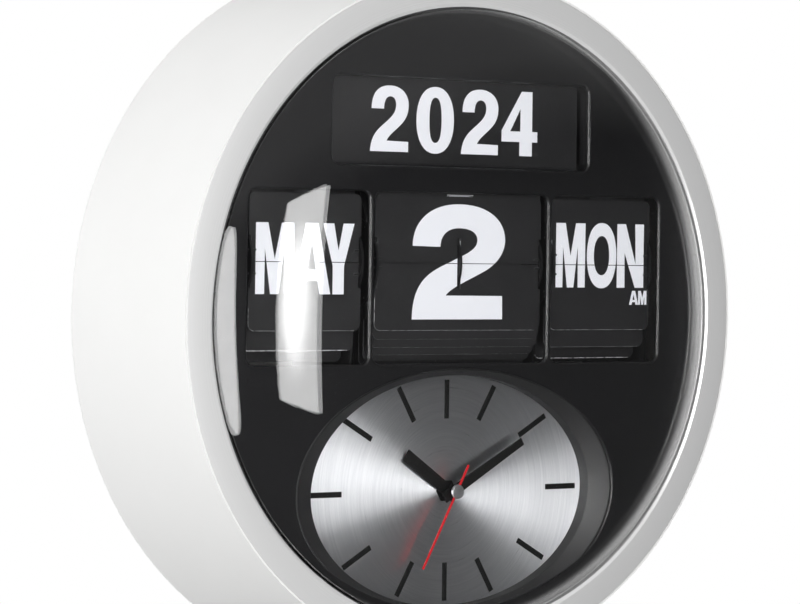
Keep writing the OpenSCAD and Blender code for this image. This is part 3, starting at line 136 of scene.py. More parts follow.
# Lamps: a tall soft box straight in front and a wide round one left of the camera, which give the light on
# matt faces. The same boxes as the crystal mirrors them, with a hot middle, are lamps for mirrored rays only.
for name, place, aim, shape, width, height, power, mirrored in (
    ("front_box", (-0.29, -1.70, 0.08), (-0.125, -0.115, 0.01), "RECTANGLE", 0.45, 1.20, 20.5, False),
    ("front_mirror", (-0.29, -1.73, 0.08), (-0.125, -0.115, 0.01), "RECTANGLE", 0.46, 1.22, 12.5, True),
    ("front_core", (-0.30, -1.66, 0.07), (-0.125, -0.115, 0.01), "RECTANGLE", 0.42, 1.00, 13.0, True),
    ("left_box", (-1.62, -1.02, 0.05), (-0.16, -0.09, 0), "ELLIPSE", 1.15, 1.55, 16.8, False),
    ("left_wing", (-1.75, -0.90, -0.18), (-0.16, -0.09, -0.1), "ELLIPSE", 1.40, 2.10, 56.0, True),
):
    lamp = bpy.data.objects.new(name, bpy.data.lights.new(name, "AREA"))
    scene.collection.objects.link(lamp)
    lamp.data.shape = shape
    lamp.data.size, lamp.data.size_y, lamp.data.energy = width, height, power
    lamp.visible_diffuse = not mirrored
    lamp.visible_glossy = lamp.visible_transmission = mirrored
    turn = (Vector(aim) - Vector(place)).to_track_quat("-Z", "Y").to_matrix().to_4x4()
    lamp.matrix_world = Matrix.Translation(place) @ turn
    if name == "front_core":
        lamp.data.use_nodes = True
        tree = lamp.data.node_tree
        spot = add_node(tree, "ShaderNodeNewGeometry").outputs["Parametric"]
        centred = add_node(tree, "ShaderNodeVectorMath", {
            0: spot, 1: (2, 2, 0), 2: (-1, -1, 0)}, operation="MULTIPLY_ADD").outputs[0]
        out = add_node(tree, "ShaderNodeVectorMath", {0: centred}, operation="LENGTH").outputs["Value"]
        fade = add_node(tree, "ShaderNodeMapRange", {
            "Value": out, "From Min": 0.15, "To Min": 1.0, "To Max": 0.0}, interpolation_type="SMOOTHSTEP")
        tree.links.new(fade.outputs[0], tree.nodes["Emission"].inputs["Strength"])

# Floor: pale studio paper well below the clock, which hangs at about eye height. It is matt and plain,
# and is kept from throwing light up onto the dial.
floor_half, floor_z = 3.0, -1.6
paper = bpy.data.materials.new("pale_studio_paper")
paper.use_nodes = True
for name, value in (("Base Color", tint("F2F2F0")), ("Roughness", 0.9)):
    paper.node_tree.nodes["Principled BSDF"].inputs[name].default_value = value
floor_mesh = bpy.data.meshes.new("floor")
floor_mesh.from_pydata([(side * floor_half, near * floor_half, floor_z) for side, near in (
    (-1, -1), (1, -1), (1, 1), (-1, 1))], [], [(0, 1, 2, 3)])
floor_mesh.materials.append(paper)
floor = bpy.data.objects.new("floor", floor_mesh)
scene.collection.objects.link(floor)
floor.visible_diffuse = floor.visible_glossy = floor.visible_transmission = False
floor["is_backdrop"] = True


# Case: conical ABS moulding, matte white, with a fine spark-eroded grain from the mould.
# The grain is 0.3 mm on the real case and drawn at 0.9 mm, so that it shows.
def start_material(name):
    """An empty node material: itself, its tree, its surface socket and its object coordinates."""
    made = bpy.data.materials.new(name)
    made.use_nodes = True
    made.node_tree.nodes.clear()
    end = add_node(made.node_tree, "ShaderNodeOutputMaterial").inputs["Surface"]
    return made, made.node_tree, end, add_node(made.node_tree, "ShaderNodeTexCoord").outputs["Object"]


def dress(material, *names):
    """Gives CAD nodes a material."""
    for name in names:
        slots = frame["nodes"][name].data.materials
        slots.clear()
        slots.append(material)


mm = 0.001
white_abs, tree, surface, spot = start_material("white_abs_moulded")
grain = add_node(tree, "ShaderNodeTexNoise", {
    "Vector": spot, "Scale": 1 / (0.9 * mm), "Detail": 2.0}).outputs[0]
cloud = add_node(tree, "ShaderNodeTexNoise", {
    "Vector": spot, "Scale": 1 / (70 * mm), "Detail": 3.0}).outputs[0]
shade = add_node(tree, "ShaderNodeMix", {0: cloud, 6: tint("EDEDEC"), 7: tint("F5F5F4")}, data_type="RGBA")
gloss = add_node(tree, "ShaderNodeMapRange", {"Value": grain, "To Min": 0.42, "To Max": 0.56})
bump = add_node(tree, "ShaderNodeBump", {"Height": grain, "Strength": 0.12, "Distance": 0.1 * mm})
skin = add_node(tree, "ShaderNodeBsdfPrincipled", {
    "Base Color": shade.outputs[2], "Roughness": gloss.outputs[0], "IOR": 1.53, "Normal": bump.outputs[0]})
tree.links.new(skin.outputs[0], surface)
dress(white_abs, "case_shell")


# Front ring: aluminium pressing, satin with fine turning lines, and a polished lip cut at its inner edge,
# which holds the crystal down. The lines are 0.1 mm apart on the real ring and drawn at 0.6 mm.
def new_piece(name, mesh, material, body="case", stands_for=()):
    """A finished mesh as a piece of the clock that rides on a body."""
    piece = bpy.data.objects.new(name, mesh)
    scene.collection.objects.link(piece)
    mesh.materials.clear()
    mesh.materials.append(material)
    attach(piece, body)
    if stands_for:
        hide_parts(*stands_for)
    return piece


def close(mesh, gap):
    """Joins points that lie together and turns all faces outward."""
    shape = bmesh.new()
    shape.from_mesh(mesh)
    bmesh.ops.remove_doubles(shape, verts=shape.verts, dist=gap * mm)
    bmesh.ops.delete(shape, geom=[edge for edge in shape.edges if not edge.link_faces], context="EDGES")
    bmesh.ops.recalc_face_normals(shape, faces=shape.faces)
    shape.to_mesh(mesh)
    shape.free()


front_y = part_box("front_ring")[0][1]


def loft(name, loops):
    """A closed skin through loops of (x, depth, z), from the last loop back to the first."""
    count = len(loops[0])
    points = [(x * mm, front_y + depth * mm, z * mm) for loop in loops for x, depth, z in loop]
    faces = []
    for i in range(len(loops)):
        j = (i + 1) % len(loops)
        for k in range(count):
            m = (k + 1) % count
            faces.append((i * count + k, j * count + k, j * count + m, i * count + m))
    mesh = bpy.data.meshes.new(name)
    mesh.from_pydata(points, [], faces)
    pole_gap, sharp_angle = 0.06, math.radians(40)
    close(mesh, pole_gap)
    mesh.shade_smooth()
    mesh.set_sharp_from_angle(angle=sharp_angle)
    return mesh


def oval(half_w, half_h, depth, centre_z=0, count=160):
    """A loop around an axis along Y."""
    angles = [2 * math.pi * i / count for i in range(count)]
    return [(half_w * math.cos(a), depth, centre_z + half_h * math.sin(a)) for a in angles]


def turned(name, outline, centre_z=0, count=256):
    """A skin turned about an axis along Y, from points of radius and depth."""
    return loft(name, [oval(r, r, depth, centre_z, count) for r, depth in outline])


def arc(radius, start, end, steps):
    """Points around the origin between two angles in degrees."""
    angles = [math.radians(start + (end - start) * i / steps) for i in range(steps + 1)]
    return [(radius * math.cos(a), radius * math.sin(a)) for a in angles]


ring_thick, ring_edge = 1.5, 0.3
ring_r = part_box("front_ring")[1][0] / mm
lip_in, lip_out, lip_deep, lip_round = 170.45, 172.3, 1.2, 0.15
satin, tree, surface, spot = start_material("satin_aluminium_turned")
flat = add_node(tree, "ShaderNodeVectorMath", {0: spot, 1: (1, 0, 1)}, operation="MULTIPLY").outputs[0]
radius = add_node(tree, "ShaderNodeVectorMath", {0: flat}, operation="LENGTH").outputs["Value"]
lines = add_node(tree, "ShaderNodeTexNoise", {"W": radius, "Scale": 1 / (0.6 * mm), "Detail": 3.0},
                 noise_dimensions="1D").outputs[0]
fleck = add_node(tree, "ShaderNodeTexNoise", {
    "Vector": spot, "Scale": 1 / (0.8 * mm), "Detail": 2.0}).outputs[0]
lip = add_node(tree, "ShaderNodeMath", {0: radius, 1: lip_out * mm}, operation="LESS_THAN").outputs[0]
gloss = add_node(tree, "ShaderNodeMapRange", {"Value": fleck, "To Min": 0.40, "To Max": 0.50}).outputs[0]
polish = add_node(tree, "ShaderNodeMix", {"Factor": lip, "A": gloss, "B": 0.22}).outputs[0]
grey = add_node(tree, "ShaderNodeMix", {
    0: lines, 6: tint("D2D2D2"), 7: tint("DDDDDD")}, data_type="RGBA").outputs[2]
# The lip's paler grey comes partly from its polish and partly from a painted highlight, where light catches
# the lip.
shade = add_node(tree, "ShaderNodeMix", {0: lip, 6: grey, 7: tint("ECECEC")}, data_type="RGBA")
bump = add_node(tree, "ShaderNodeBump", {"Height": lines, "Strength": 0.06, "Distance": 0.1 * mm})
skin = add_node(tree, "ShaderNodeBsdfPrincipled", {
    "Base Color": shade.outputs[2], "Metallic": 0.22, "Roughness": polish, "Normal": bump.outputs[0]})
tree.links.new(skin.outputs[0], surface)
corner = [(ring_r - ring_edge + out, ring_edge - up) for out, up in arc(ring_edge, 0, 90, 4)]
ring_mesh = turned("front_ring_turned", [(ring_r, ring_thick)] + corner + [
    (lip_out + 2 * lip_round, 0), (lip_out + lip_round, 0), (lip_out - lip_round, lip_round),
    (lip_in + lip_round, lip_deep - lip_round), (lip_in, lip_deep), (lip_in, ring_thick)])
new_piece("front_ring_turned", ring_mesh, satin, "case", ("front_ring",))


# Dial plate: black ABS moulding with a leather-like grain. It has four windows with rounded edges, an oval
# well with a wide chamfer, a fillet up to its wall, and a flange behind the case's front for its screws.
# The grain is 0.5 mm on the real plate and drawn at 1.6 mm.
def sheet(name, loops, depth, thick, edge=0.0, steps=3):
    """A flat piece with holes, from loops of (x, z), with its front at a depth and round edges."""
    curve = bpy.data.curves.new(name, "CURVE")
    curve.dimensions = "2D"
    curve.fill_mode = "BOTH"
    curve.extrude = thick / 2 - edge
    curve.bevel_depth = edge
    curve.bevel_resolution = steps
    curve.offset = -edge
    for loop in loops:
        spline = curve.splines.new("POLY")
        spline.points.add(len(loop) - 1)
        for point, (x, z) in zip(spline.points, loop):
            point.co = (x, z, 0, 1)
        spline.use_cyclic_u = True
    holder = bpy.data.objects.new(name, curve)
    scene.collection.objects.link(holder)
    mesh = bpy.data.meshes.new_from_object(holder.evaluated_get(bpy.context.evaluated_depsgraph_get()))
    bpy.data.objects.remove(holder)
    stand = Matrix.Rotation(math.pi / 2, 4, "X")
    place = Matrix.Translation((0, front_y + (depth + thick / 2) * mm, 0))
    mesh.transform(place @ Matrix.Scale(mm, 4) @ stand)
    point_gap = 0.001
    close(mesh, point_gap)
    return mesh


def rounded(x0, x1, z0, z1, r):
    """A rectangle with round corners."""
    loop = []
    for x, z, start in ((x1 - r, z1 - r, 0), (x0 + r, z1 - r, 90),
                        (x0 + r, z0 + r, 180), (x1 - r, z0 + r, 270)):
        loop += [(x + a, z + b) for a, b in arc(r, start, start + 90, 8)]
    return loop


def mottled(name, grain_size, noise, shades, gloss, skin, relief=None):
    """A material whose shade and roughness run between two values with one grain; relief is a bump's
    strength and height."""
    made, tree, surface, spot = start_material(name)
    grain = add_node(tree, "ShaderNodeTexNoise", {
        "Vector": spot, "Scale": 1 / (grain_size * mm), **noise}).outputs[0]
    shade = add_node(tree, "ShaderNodeMix", {
        0: grain, 6: tint(shades[0]), 7: tint(shades[1])}, data_type="RGBA").outputs[2]
    rough = add_node(tree, "ShaderNodeMapRange", {
        "Value": grain, "To Min": gloss[0], "To Max": gloss[1]}).outputs[0]
    sockets = {"Base Color": shade, "Roughness": rough, **skin}
    if relief:
        strength, high = relief
        sockets["Normal"] = add_node(tree, "ShaderNodeBump", {
            "Height": grain, "Strength": strength, "Distance": high * mm}).outputs[0]
    tree.links.new(add_node(tree, "ShaderNodeBsdfPrincipled", sockets).outputs[0], surface)
    return made


black_abs = mottled("black_abs_grained", 1.6, {"Detail": 4.0, "Roughness": 0.65}, ("040405", "121214"),
                    (0.24, 0.36), {"Specular IOR Level": 0.5}, (0.3, 0.1))

plate_front, plate_thick, plate_r, plate_edge = 10.5, 3.0, 163.5, 1.49
plate_rear = plate_front + plate_thick
fillet_r, fillet_turn, wall_r, wall_thick, wall_top = 5.0, 67.5, 171.6, 1.7, 3.8
flange_r, flange_front, flange_thick = 181.0, 8.1, 2.5
window_low, window_high, corner_r = -25.2, 68.1, 5.0
window_sides = (-142.2, -63.2), (-59.8, 59.8), (63.2, 141.6)
year_half, year_low, year_high = 88.5, 82.3, 130.4
dial_z, dial_depth = -96.0, 23.2
well_w, well_h, well_wall = 96.1, 64.0, 2.4
seat_gap = 0.1
mouth_w, mouth_h, well_foot, well_end = 109.0, 67.5, 16.4, dial_depth - seat_gap
# Points of the well's edge: share of the way from the well to its mouth, and depth.
well_edge = ((1.1, 11.7), (1.01, 11.1), (0.93, 11.15), (0.9, 11.3),
             (0.08, 15.4), (0.05, 15.6), (0.012, 15.9), (0, well_foot), (0, well_end))
# Points of the tunnel behind the year's window: how far it draws in, and depth.
tunnel_edge = (0, 12.5), (0.5, 17.9), (-1.5, 17.9), (-1.5, 12.5)

rim = [(x, z) for x, _, z in oval(plate_r, plate_r, 0, 0, 256)]
mouth = [(x, z) for x, _, z in oval(mouth_w, mouth_h, 0, dial_z)]
holes = [rounded(left, right, window_low, window_high, corner_r) for left, right in window_sides]
holes.append(rounded(-year_half, year_half, year_low, year_high, corner_r))
face = sheet("plate_face", [rim, mouth] + holes, plate_front, plate_thick, plate_edge, 4)
fillet = [(plate_r + out, plate_front - fillet_r + deep) for deep, out in arc(fillet_r, 0, fillet_turn, 6)]
wall = turned("plate_wall", [(plate_r - plate_edge, plate_front)] + fillet + [
    (wall_r - wall_thick, wall_top), (wall_r, wall_top), (wall_r, flange_front), (flange_r, flange_front),
    (flange_r, flange_front + flange_thick), (wall_r, flange_front + flange_thick),
    (wall_r - wall_thick, plate_rear), (plate_r - plate_edge, plate_rear)])
well = loft("plate_well", [
    oval(well_w + share * (mouth_w - well_w), well_h + share * (mouth_h - well_h), depth, dial_z)
    for share, depth in well_edge
] + [
    oval(well_w + well_wall, well_h + well_wall, well_end, dial_z),
    oval(well_w + well_wall, well_h + well_wall, well_foot + well_wall, dial_z),
    oval(mouth_w + plate_edge, mouth_h + plate_edge, plate_rear - seat_gap, dial_z)])
tunnel = loft("plate_tunnel", [
    [(x, depth, z) for x, z in rounded(draw - year_half, year_half - draw, year_low + draw / 2,
                                       year_high - draw / 2, corner_r)] for draw, depth in tunnel_edge])
shape = bmesh.new()
for part in (face, wall, tunnel):
    shape.from_mesh(part)
plate_mesh = bpy.data.meshes.new("dial_plate_front")
shape.to_mesh(plate_mesh)
shape.free()
new_piece("dial_plate_front", plate_mesh, black_abs, "case", ("dial_plate",))

# Well of the plate: its mould was etched matt, so that it scatters light evenly and shows no grain.
# The pits are 0.1 mm on the real plate and drawn at 0.6 mm.
etched = mottled("black_abs_etched", 0.6, {"Detail": 2.0}, ("0B0B0C", "151516"), (0.42, 0.52),
                 {"Specular IOR Level": 0.55}, (0.2, 0.1))
new_piece("dial_plate_well", well, etched, "case")

# Drums and movement: black ABS as the plate. The drums turn on the axle, and the movement hangs in the dial
# by its neck. Only the drums' flanges show, in the notches beside the flaps.
dress(black_abs, "month_drum", "date_drum", "day_drum", "movement_case")

# Chassis and year bracket: folded steel sheet with a black phosphate finish, so that they stay dark behind
# the windows. The finish is dull and mottled at about 4 mm.
phosphate = mottled("black_phosphated_steel", 4, {"Detail": 4.0}, ("08080A", "161618"), (0.45, 0.62),
                    {"Specular IOR Level": 0.3})
dress(phosphate, "flap_chassis", "year_bracket")

# Axle, motors and screws: zinc-plated steel with faint spangles from the plating bath.
# The spangles are about 3 mm.
steel = mottled("zinc_plated_steel", 3, {"Detail": 3.0}, ("B4B4B6", "D0D0D2"), (0.24, 0.38),
                {"Metallic": 1.0})
dress(steel, "drum_axle", "drive_motors", "dial_plate_screws", "bracket_screws")

# Catch springs: blued spring steel, which hold the front flaps by their top edges until they may fall.
# The date's spring lets a flap go every day; its tip is painted as bright bare metal, a painted glint where
# light catches it.
date_half, tip_high = 30, 0.6
tip_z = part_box("flap_catches")[0][2]
blued, tree, surface, spot = start_material("blued_spring_steel")
place = add_node(tree, "ShaderNodeSeparateXYZ", {0: spot}).outputs
date = add_node(tree, "ShaderNodeMath", {
    0: place["X"], 1: 0.0, 2: date_half * mm}, operation="COMPARE").outputs[0]
tip = add_node(tree, "ShaderNodeMath", {
    0: place["Z"], 1: tip_z, 2: tip_high * mm}, operation="COMPARE").outputs[0]
painted_glint = add_node(tree, "ShaderNodeMath", {0: date, 1: tip}, operation="MULTIPLY").outputs[0]
rub = add_node(tree, "ShaderNodeTexNoise", {"Vector": spot, "Scale": 1 / (2 * mm), "Detail": 3.0}).outputs[0]
dark = add_node(tree, "ShaderNodeMix", {
    0: rub, 6: tint("0C0C0E"), 7: tint("18181B")}, data_type="RGBA").outputs[2]
# Pale metal where the mask is set: a painted glint on the tip of the date's spring.
shade = add_node(tree, "ShaderNodeMix", {0: painted_glint, 6: dark, 7: tint("D8D8DA")}, data_type="RGBA")
gloss = add_node(tree, "ShaderNodeMapRange", {"Value": rub, "To Min": 0.30, "To Max": 0.45})
skin = add_node(tree, "ShaderNodeBsdfPrincipled", {
    "Base Color": shade.outputs[2], "Metallic": painted_glint, "Roughness": gloss.outputs[0]})
tree.links.new(skin.outputs[0], surface)
dress(blued, "flap_catches")

# Gears, rolls and setting wheels: moulded in natural white acetal, which is waxy and a little cloudy.
# They turn on studs of the chassis, on the motors' shafts and in the bracket of the year band.
acetal = mottled("acetal_natural", 10, {"Detail": 3.0}, ("E2E2DC", "EEEEE8"), (0.30, 0.42), {"IOR": 1.48})
dress(acetal, "month_setting_wheel", "date_setting_wheel", "day_setting_wheel", "date_idler", "month_pinion",
      "date_pinion", "day_pinion", "year_upper_roll", "year_lower_roll", "year_idler", "year_setting_wheel")

# Flaps and year band: cut from black PVC film with a satin face, which is rubbed a little smoother where
# flaps slide over each other. Their cut edges are painted mid grey, a painted highlight where light catches
# them.
film, tree, surface, spot = start_material("black_pvc_film")
rub = add_node(tree, "ShaderNodeTexNoise", {
    "Vector": spot, "Scale": 1 / (12 * mm), "Detail": 5.0, "Roughness": 0.6}).outputs[0]
facing = add_node(tree, "ShaderNodeTexCoord").outputs["Normal"]
front = add_node(tree, "ShaderNodeSeparateXYZ", {0: facing}).outputs["Y"]
straight = add_node(tree, "ShaderNodeMath", {0: front}, operation="ABSOLUTE").outputs[0]
cut = add_node(tree, "ShaderNodeMath", {0: straight, 1: 0.5}, operation="LESS_THAN").outputs[0]
black = add_node(tree, "ShaderNodeMix", {
    0: rub, 6: tint("0A0A0C"), 7: tint("111113")}, data_type="RGBA").outputs[2]
# The mid grey on faces that do not face forward is a painted highlight on the cut edges.
shade = add_node(tree, "ShaderNodeMix", {0: cut, 6: black, 7: tint("6A6A6C")}, data_type="RGBA")
gloss = add_node(tree, "ShaderNodeMapRange", {"Value": rub, "To Min": 0.38, "To Max": 0.50})
skin = add_node(tree, "ShaderNodeBsdfPrincipled", {
    "Base Color": shade.outputs[2], "Roughness": gloss.outputs[0], "Specular IOR Level": 0.5})
tree.links.new(skin.outputs[0], surface)
for display in ("month", "date", "day"):
    dress(film, *[f"{display}_{place}" for place in (
        "falling_flap", "next_flap", "lower_flap", "second_flap", "flap_pack")])
dress(film, "date_third_flap", "date_fourth_flap", "day_third_flap", "year_band")

# Edge glints: along the left and lower edge of the flaps that have fallen, a hair of pale grey is a painted
# highlight where light catches their die-cut edges. It is broken into flecks about 1 mm long.
edge_paint, tree, surface, spot = start_material("painted_edge_highlight")
glint_flecks = add_node(tree, "ShaderNodeTexNoise", {
    "Vector": spot, "Scale": 1 / (2 * mm), "Detail": 3.0}).outputs[0]
fleck_share = add_node(tree, "ShaderNodeMapRange", {"Value": glint_flecks, "From Min": 0.35, "From Max": 0.55}).outputs[0]
shade = add_node(tree, "ShaderNodeMix", {0: fleck_share, 6: tint("3A3A3C"), 7: tint("D8D8DA")}, data_type="RGBA")
skin = add_node(tree, "ShaderNodeBsdfPrincipled", {"Base Color": shade.outputs[2], "Roughness": 0.5})
tree.links.new(skin.outputs[0], surface)
# Each hair's width sets how strong its painted highlight is, flap by flap.
pins = {joint["child"]: joint["pos_m"] for joint in frame["joints"]}
film_thick, ink_thick, ink_gap = 0.4, 0.04, 0.005
flap_corner, edge_inset, hair_taper = 4.0, 0.06, 1.5
for flap, hair, side_hair, side_high in (
        ("month_lower", 0.10, 0.14, 8), ("month_second", 0.40, 0, 0), ("date_lower", 0.10, 0.24, 14),
        ("date_second", 0.02, 0, 0), ("date_third", 0.02, 0, 0), ("date_fourth", 0.02, 0, 0),
        ("day_lower", 0.12, 0.42, 18), ("day_second", 0.05, 0, 0), ("day_third", 0.35, 0, 0)):
    (left, _, low), (right, _, _) = (Vector(end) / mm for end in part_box(flap + "_flap"))
    inset = edge_inset + hair
    turn_x, side_low = left + flap_corner, low + flap_corner
    bend = [(turn_x + x, side_low + z) for x, z in arc(flap_corner - edge_inset, 180, 270, 8)]
    back = [(turn_x + x, side_low + z) for x, z in arc(flap_corner - inset, 270, 180, 8)]
    loop = bend + [(right - flap_corner, low + edge_inset), (right - flap_corner, low + inset)] + back
    if side_high:
        side_in = left + edge_inset + side_hair
        loop += [(side_in, side_low + hair_taper), (side_in, side_low + side_high),
                 (left + edge_inset, side_low + side_high)]
    pin_depth = (pins[flap + "_flap"][1] - front_y) / mm
    name = flap + "_painted_glint_edge"
    mesh = sheet(name, [loop], pin_depth - film_thick / 2 - ink_gap - ink_thick, ink_thick)
    new_piece(name, mesh, edge_paint, flap + "_flap")

# Prints on the flaps: white screen ink, bold letters and numbers, a few hundredths of a millimetre thick.
# A print is cut where the flap is split and around the notch for the middle flange, and each half rides on
# its own flap. The next month, day and number are printed on the flaps behind.
ink = mottled("white_screen_ink", 1.5, {"Detail": 3.0}, ("F3F5FE", "FBFCFF"), (0.45, 0.60), {})
# A glyph is its outlines in a unit box: two numbers are a corner, and six are a curve's two handles and end.
glyphs = {
    "M": [[(0, 0), (0, 1), (.32, 1), (.5, .49), (.675, 1), (1, 1), (1, 0), (.755, 0), (.745, .64), (.61, 0),
           (.39, 0), (.24, .64), (.235, 0)]],
    "A": [[(0, 0), (.335, 1), (.665, 1), (1, 0), (.71, 0), (.655, .19), (.345, .19), (.29, 0)],
          [(.385, .345), (.5, .74), (.615, .345)]],
    "Y": [[(.32, 0), (.32, .4), (0, 1), (.35, 1), (.5, .62), (.65, 1), (1, 1), (.68, .4), (.68, 0)]],
    "N": [[(0, 0), (0, 1), (.32, 1), (.7, .37), (.67, 1), (1, 1), (1, 0), (.68, 0), (.28, .55), (.295, 0)]],
    "O": [[(.5, 0), (.86, 0, 1, .25, 1, .5), (1, .75, .86, 1, .5, 1), (.14, 1, 0, .75, 0, .5),
           (0, .25, .14, 0, .5, 0)],
          [(.5, .2), (.33, .2, .235, .33, .235, .5), (.235, .67, .33, .8, .5, .8),
           (.67, .8, .76, .67, .76, .5), (.76, .33, .67, .2, .5, .2)]],
    "U": [[(.5, -.01), (.82, -.01, 1, .13, 1, .36), (1, 1), (.69, 1), (.69, .34),
           (.69, .23, .61, .18, .5, .18), (.39, .18, .31, .23, .31, .34), (.31, 1), (0, 1), (0, .36),
           (0, .13, .18, -.01, .5, -.01)]],
    "J": [[(.46, -.01), (.8, -.01, 1, .12, 1, .36), (1, 1), (.64, 1), (.64, .34),
           (.64, .23, .57, .18, .47, .18), (.37, .18, .33, .24, .33, .36), (0, .36),
           (0, .12, .16, -.01, .46, -.01)]],
    "P": [[(0, 0), (0, 1), (.58, 1), (.85, 1, 1, .88, 1, .68), (1, .48, .85, .36, .58, .36), (.31, .36),
           (.31, 0)],
          [(.31, .53), (.5, .53), (.63, .53, .69, .58, .69, .68), (.69, .78, .63, .83, .5, .83), (.31, .83)]],
    "2": [[(0, 0), (.979, 0), (.975, .204), (.36, .207), (.42, .28, .6, .335, .8, .43),
           (.93, .5, 1, .59, 1, .69), (1, .88, .8, 1, .5, 1), (.2, 1, 0, .86, 0, .634), (.297, .628),
           (.297, .73, .37, .792, .5, .792), (.62, .792, .697, .755, .697, .69),
           (.697, .6, .56, .565, .404, .497), (.22, .42, 0, .36, 0, 0)]],
    "3": [[(.03, .7), (.31, .71), (.32, .79, .39, .82, .5, .82), (.6, .82, .665, .78, .665, .715),
           (.665, .64, .6, .605, .5, .605), (.4, .605), (.4, .43), (.5, .43), (.62, .43, .69, .385, .69, .31),
           (.69, .225, .61, .18, .5, .18), (.385, .18, .31, .225, .3, .32), (0, .31),
           (0, .1, .19, -.01, .5, -.01), (.81, -.01, 1, .1, 1, .29), (1, .41, .93, .49, .82, .53),
           (.92, .57, .97, .64, .97, .735), (.97, .9, .79, 1, .5, 1), (.21, 1, .03, .89, .03, .7)]],
}
curve_steps, same_point = 12, 1e-6


def lettering(*letters):
    """Outlines for letters given as (glyph, left, right, low, high)."""
    loops = []
    for glyph, left, right, low, high in letters:
        for outline in glyphs[glyph]:
            loop = []
            for point in outline:
                if len(point) == 2:
                    loop.append(Vector(point))
                    continue
                start = loop[-1]
                leave, arrive, end = Vector(point[:2]), Vector(point[2:4]), Vector(point[4:])
                for i in range(1, curve_steps + 1):
                    t = i / curve_steps
                    u = 1 - t
                    near, far = u * u * (u * start + 3 * t * leave), t * t * (3 * u * arrive + t * end)
                    loop.append(near + far)
            if (loop[0] - loop[-1]).length < same_point:
                loop.pop()
            loops.append([(left + x * (right - left), low + z * (high - low)) for x, z in loop])
    return loops


axle_r = 2.5
split_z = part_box("drum_axle")[0][2] / mm + axle_r
split_gap, notch_half, notch_high = 0.4, 1.2, 13.9


def flap_print(name, loops, flap, upper, back=False, notched=False):
    """The upper or lower half of a print on the front or the back of a flap."""
    mesh = sheet(name, loops, 0, ink_thick)
    shape = bmesh.new()
    shape.from_mesh(mesh)

    def slice_at(x, z, normal, **clear):
        parts = shape.verts[:] + shape.edges[:] + shape.faces[:]
        bmesh.ops.bisect_plane(shape, geom=parts, plane_co=(x * mm, 0, z * mm), plane_no=normal, **clear)

    edge = split_z + (split_gap / 2 if upper else -split_gap / 2)
    slice_at(0, edge, (0, 0, 1), clear_outer=not upper, clear_inner=upper)
    if notched:
        for sign in (-1, 1):
            slice_at(sign * notch_half, 0, (1, 0, 0))
            slice_at(0, split_z + sign * notch_high, (0, 0, 1))
        inside = []
        for side in shape.faces:
            middle = side.calc_center_median() / mm
            if abs(middle.x) < notch_half and abs(middle.z - split_z) < notch_high:
                inside.append(side)
        bmesh.ops.delete(shape, geom=inside, context="FACES")
    _, pin_y, pin_z = pins[flap]
    display = flap.split("_")[0]
    lift = pin_z - pins[f"{display}_falling_flap" if upper else f"{display}_lower_flap"][2]
    proud = (film_thick / 2 + ink_gap + ink_thick) * mm
    for point in shape.verts:
        deep = point.co.y - front_y
        if back:
            point.co = (point.co.x, pin_y + proud - deep, 2 * split_z * mm - point.co.z)
        else:
            point.co = (point.co.x, pin_y - proud + deep, point.co.z + lift)
    bmesh.ops.recalc_face_normals(shape, faces=shape.faces)
    shape.to_mesh(mesh)
    shape.free()
    new_piece(name, mesh, ink, flap)


month_row, day_row, half_row = (12.4, 50.4), (16.8, 53.1), (7.1, 15.1)
date_box = (-32, 32, -1.1, 62.2)
day_name = [("M", 68.9, 90.2, *day_row), ("O", 91.5, 113.2, 16.4, 53.5), ("N", 113.8, 133.7, *day_row)]
month_now = lettering(("M", -134.9, -110.2, *month_row), ("A", -110.9, -86.1, *month_row),
                      ("Y", -91.3, -70.7, *month_row))
month_next = lettering(("J", -135, -116.5, *month_row), ("U", -113.5, -93.5, *month_row),
                       ("N", -90.5, -70.7, *month_row))
day_now = lettering(*day_name, ("A", 123.2, 130, *half_row), ("M", 130, 136.3, *half_row))
day_next = lettering(*day_name, ("P", 123.6, 128.8, *half_row), ("M", 130, 136.3, *half_row))
for display, now, after in (("month", month_now, month_next), ("day", day_now, day_next),
                            ("date", lettering(("2", *date_box)), lettering(("3", *date_box)))):
    notched = display == "date"
    flap_print(f"{display}_print_upper", now, f"{display}_falling_flap", True, False, notched)
    flap_print(f"{display}_print_lower", now, f"{display}_lower_flap", False, False, notched)
    flap_print(f"{display}_print_next_lower", after, f"{display}_falling_flap", False, True, notched)
    flap_print(f"{display}_print_next_upper", after, f"{display}_next_flap", True, False, notched)

# Year: white ink on the band that runs behind its window, in narrower figures than the date's.
# The real band has one year after another, and only the one in the window is drawn.
glyphs["year 2"] = [[
    (0, 0), (1, 0), (1, .155), (.43, .165), (.5, .26, .68, .33, .83, .43), (.95, .51, 1, .6, 1, .71),
    (1, .88, .8, 1, .51, 1), (.2, 1, .03, .88, .03, .645), (.355, .645), (.355, .77, .42, .835, .52, .835),
    (.61, .835, .67, .79, .67, .71), (.67, .6, .58, .54, .42, .45), (.2, .33, .03, .26, 0, 0)]]
glyphs["0"] = [
    [(.5, -.01), (.84, -.01, 1, .22, 1, .5), (1, .78, .84, 1.01, .5, 1.01), (.16, 1.01, 0, .78, 0, .5),
     (0, .22, .16, -.01, .5, -.01)],
    [(.505, .155), (.38, .155, .345, .3, .345, .5), (.345, .7, .38, .845, .505, .845),
     (.63, .845, .67, .7, .67, .5), (.67, .3, .63, .155, .505, .155)]]
glyphs["4"] = [
    [(.5, 0), (.85, 0), (.85, .217), (1, .217), (1, .38), (.85, .38), (.85, 1), (.55, 1), (0, .39),
     (0, .217), (.5, .217)],
    [(.52, .38), (.52, .73), (.24, .38)]]
year_row = (90, 126)
band_depth = (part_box("year_band")[0][1] - front_y) / mm
year = lettering(("year 2", -58.5, -32.7, *year_row), ("0", -27.3, -1.5, *year_row),
                 ("year 2", 3.6, 29.5, *year_row), ("4", 32, 57.5, *year_row))
new_piece("year_print", sheet("year_print", year, band_depth - ink_gap - ink_thick, ink_thick), ink)

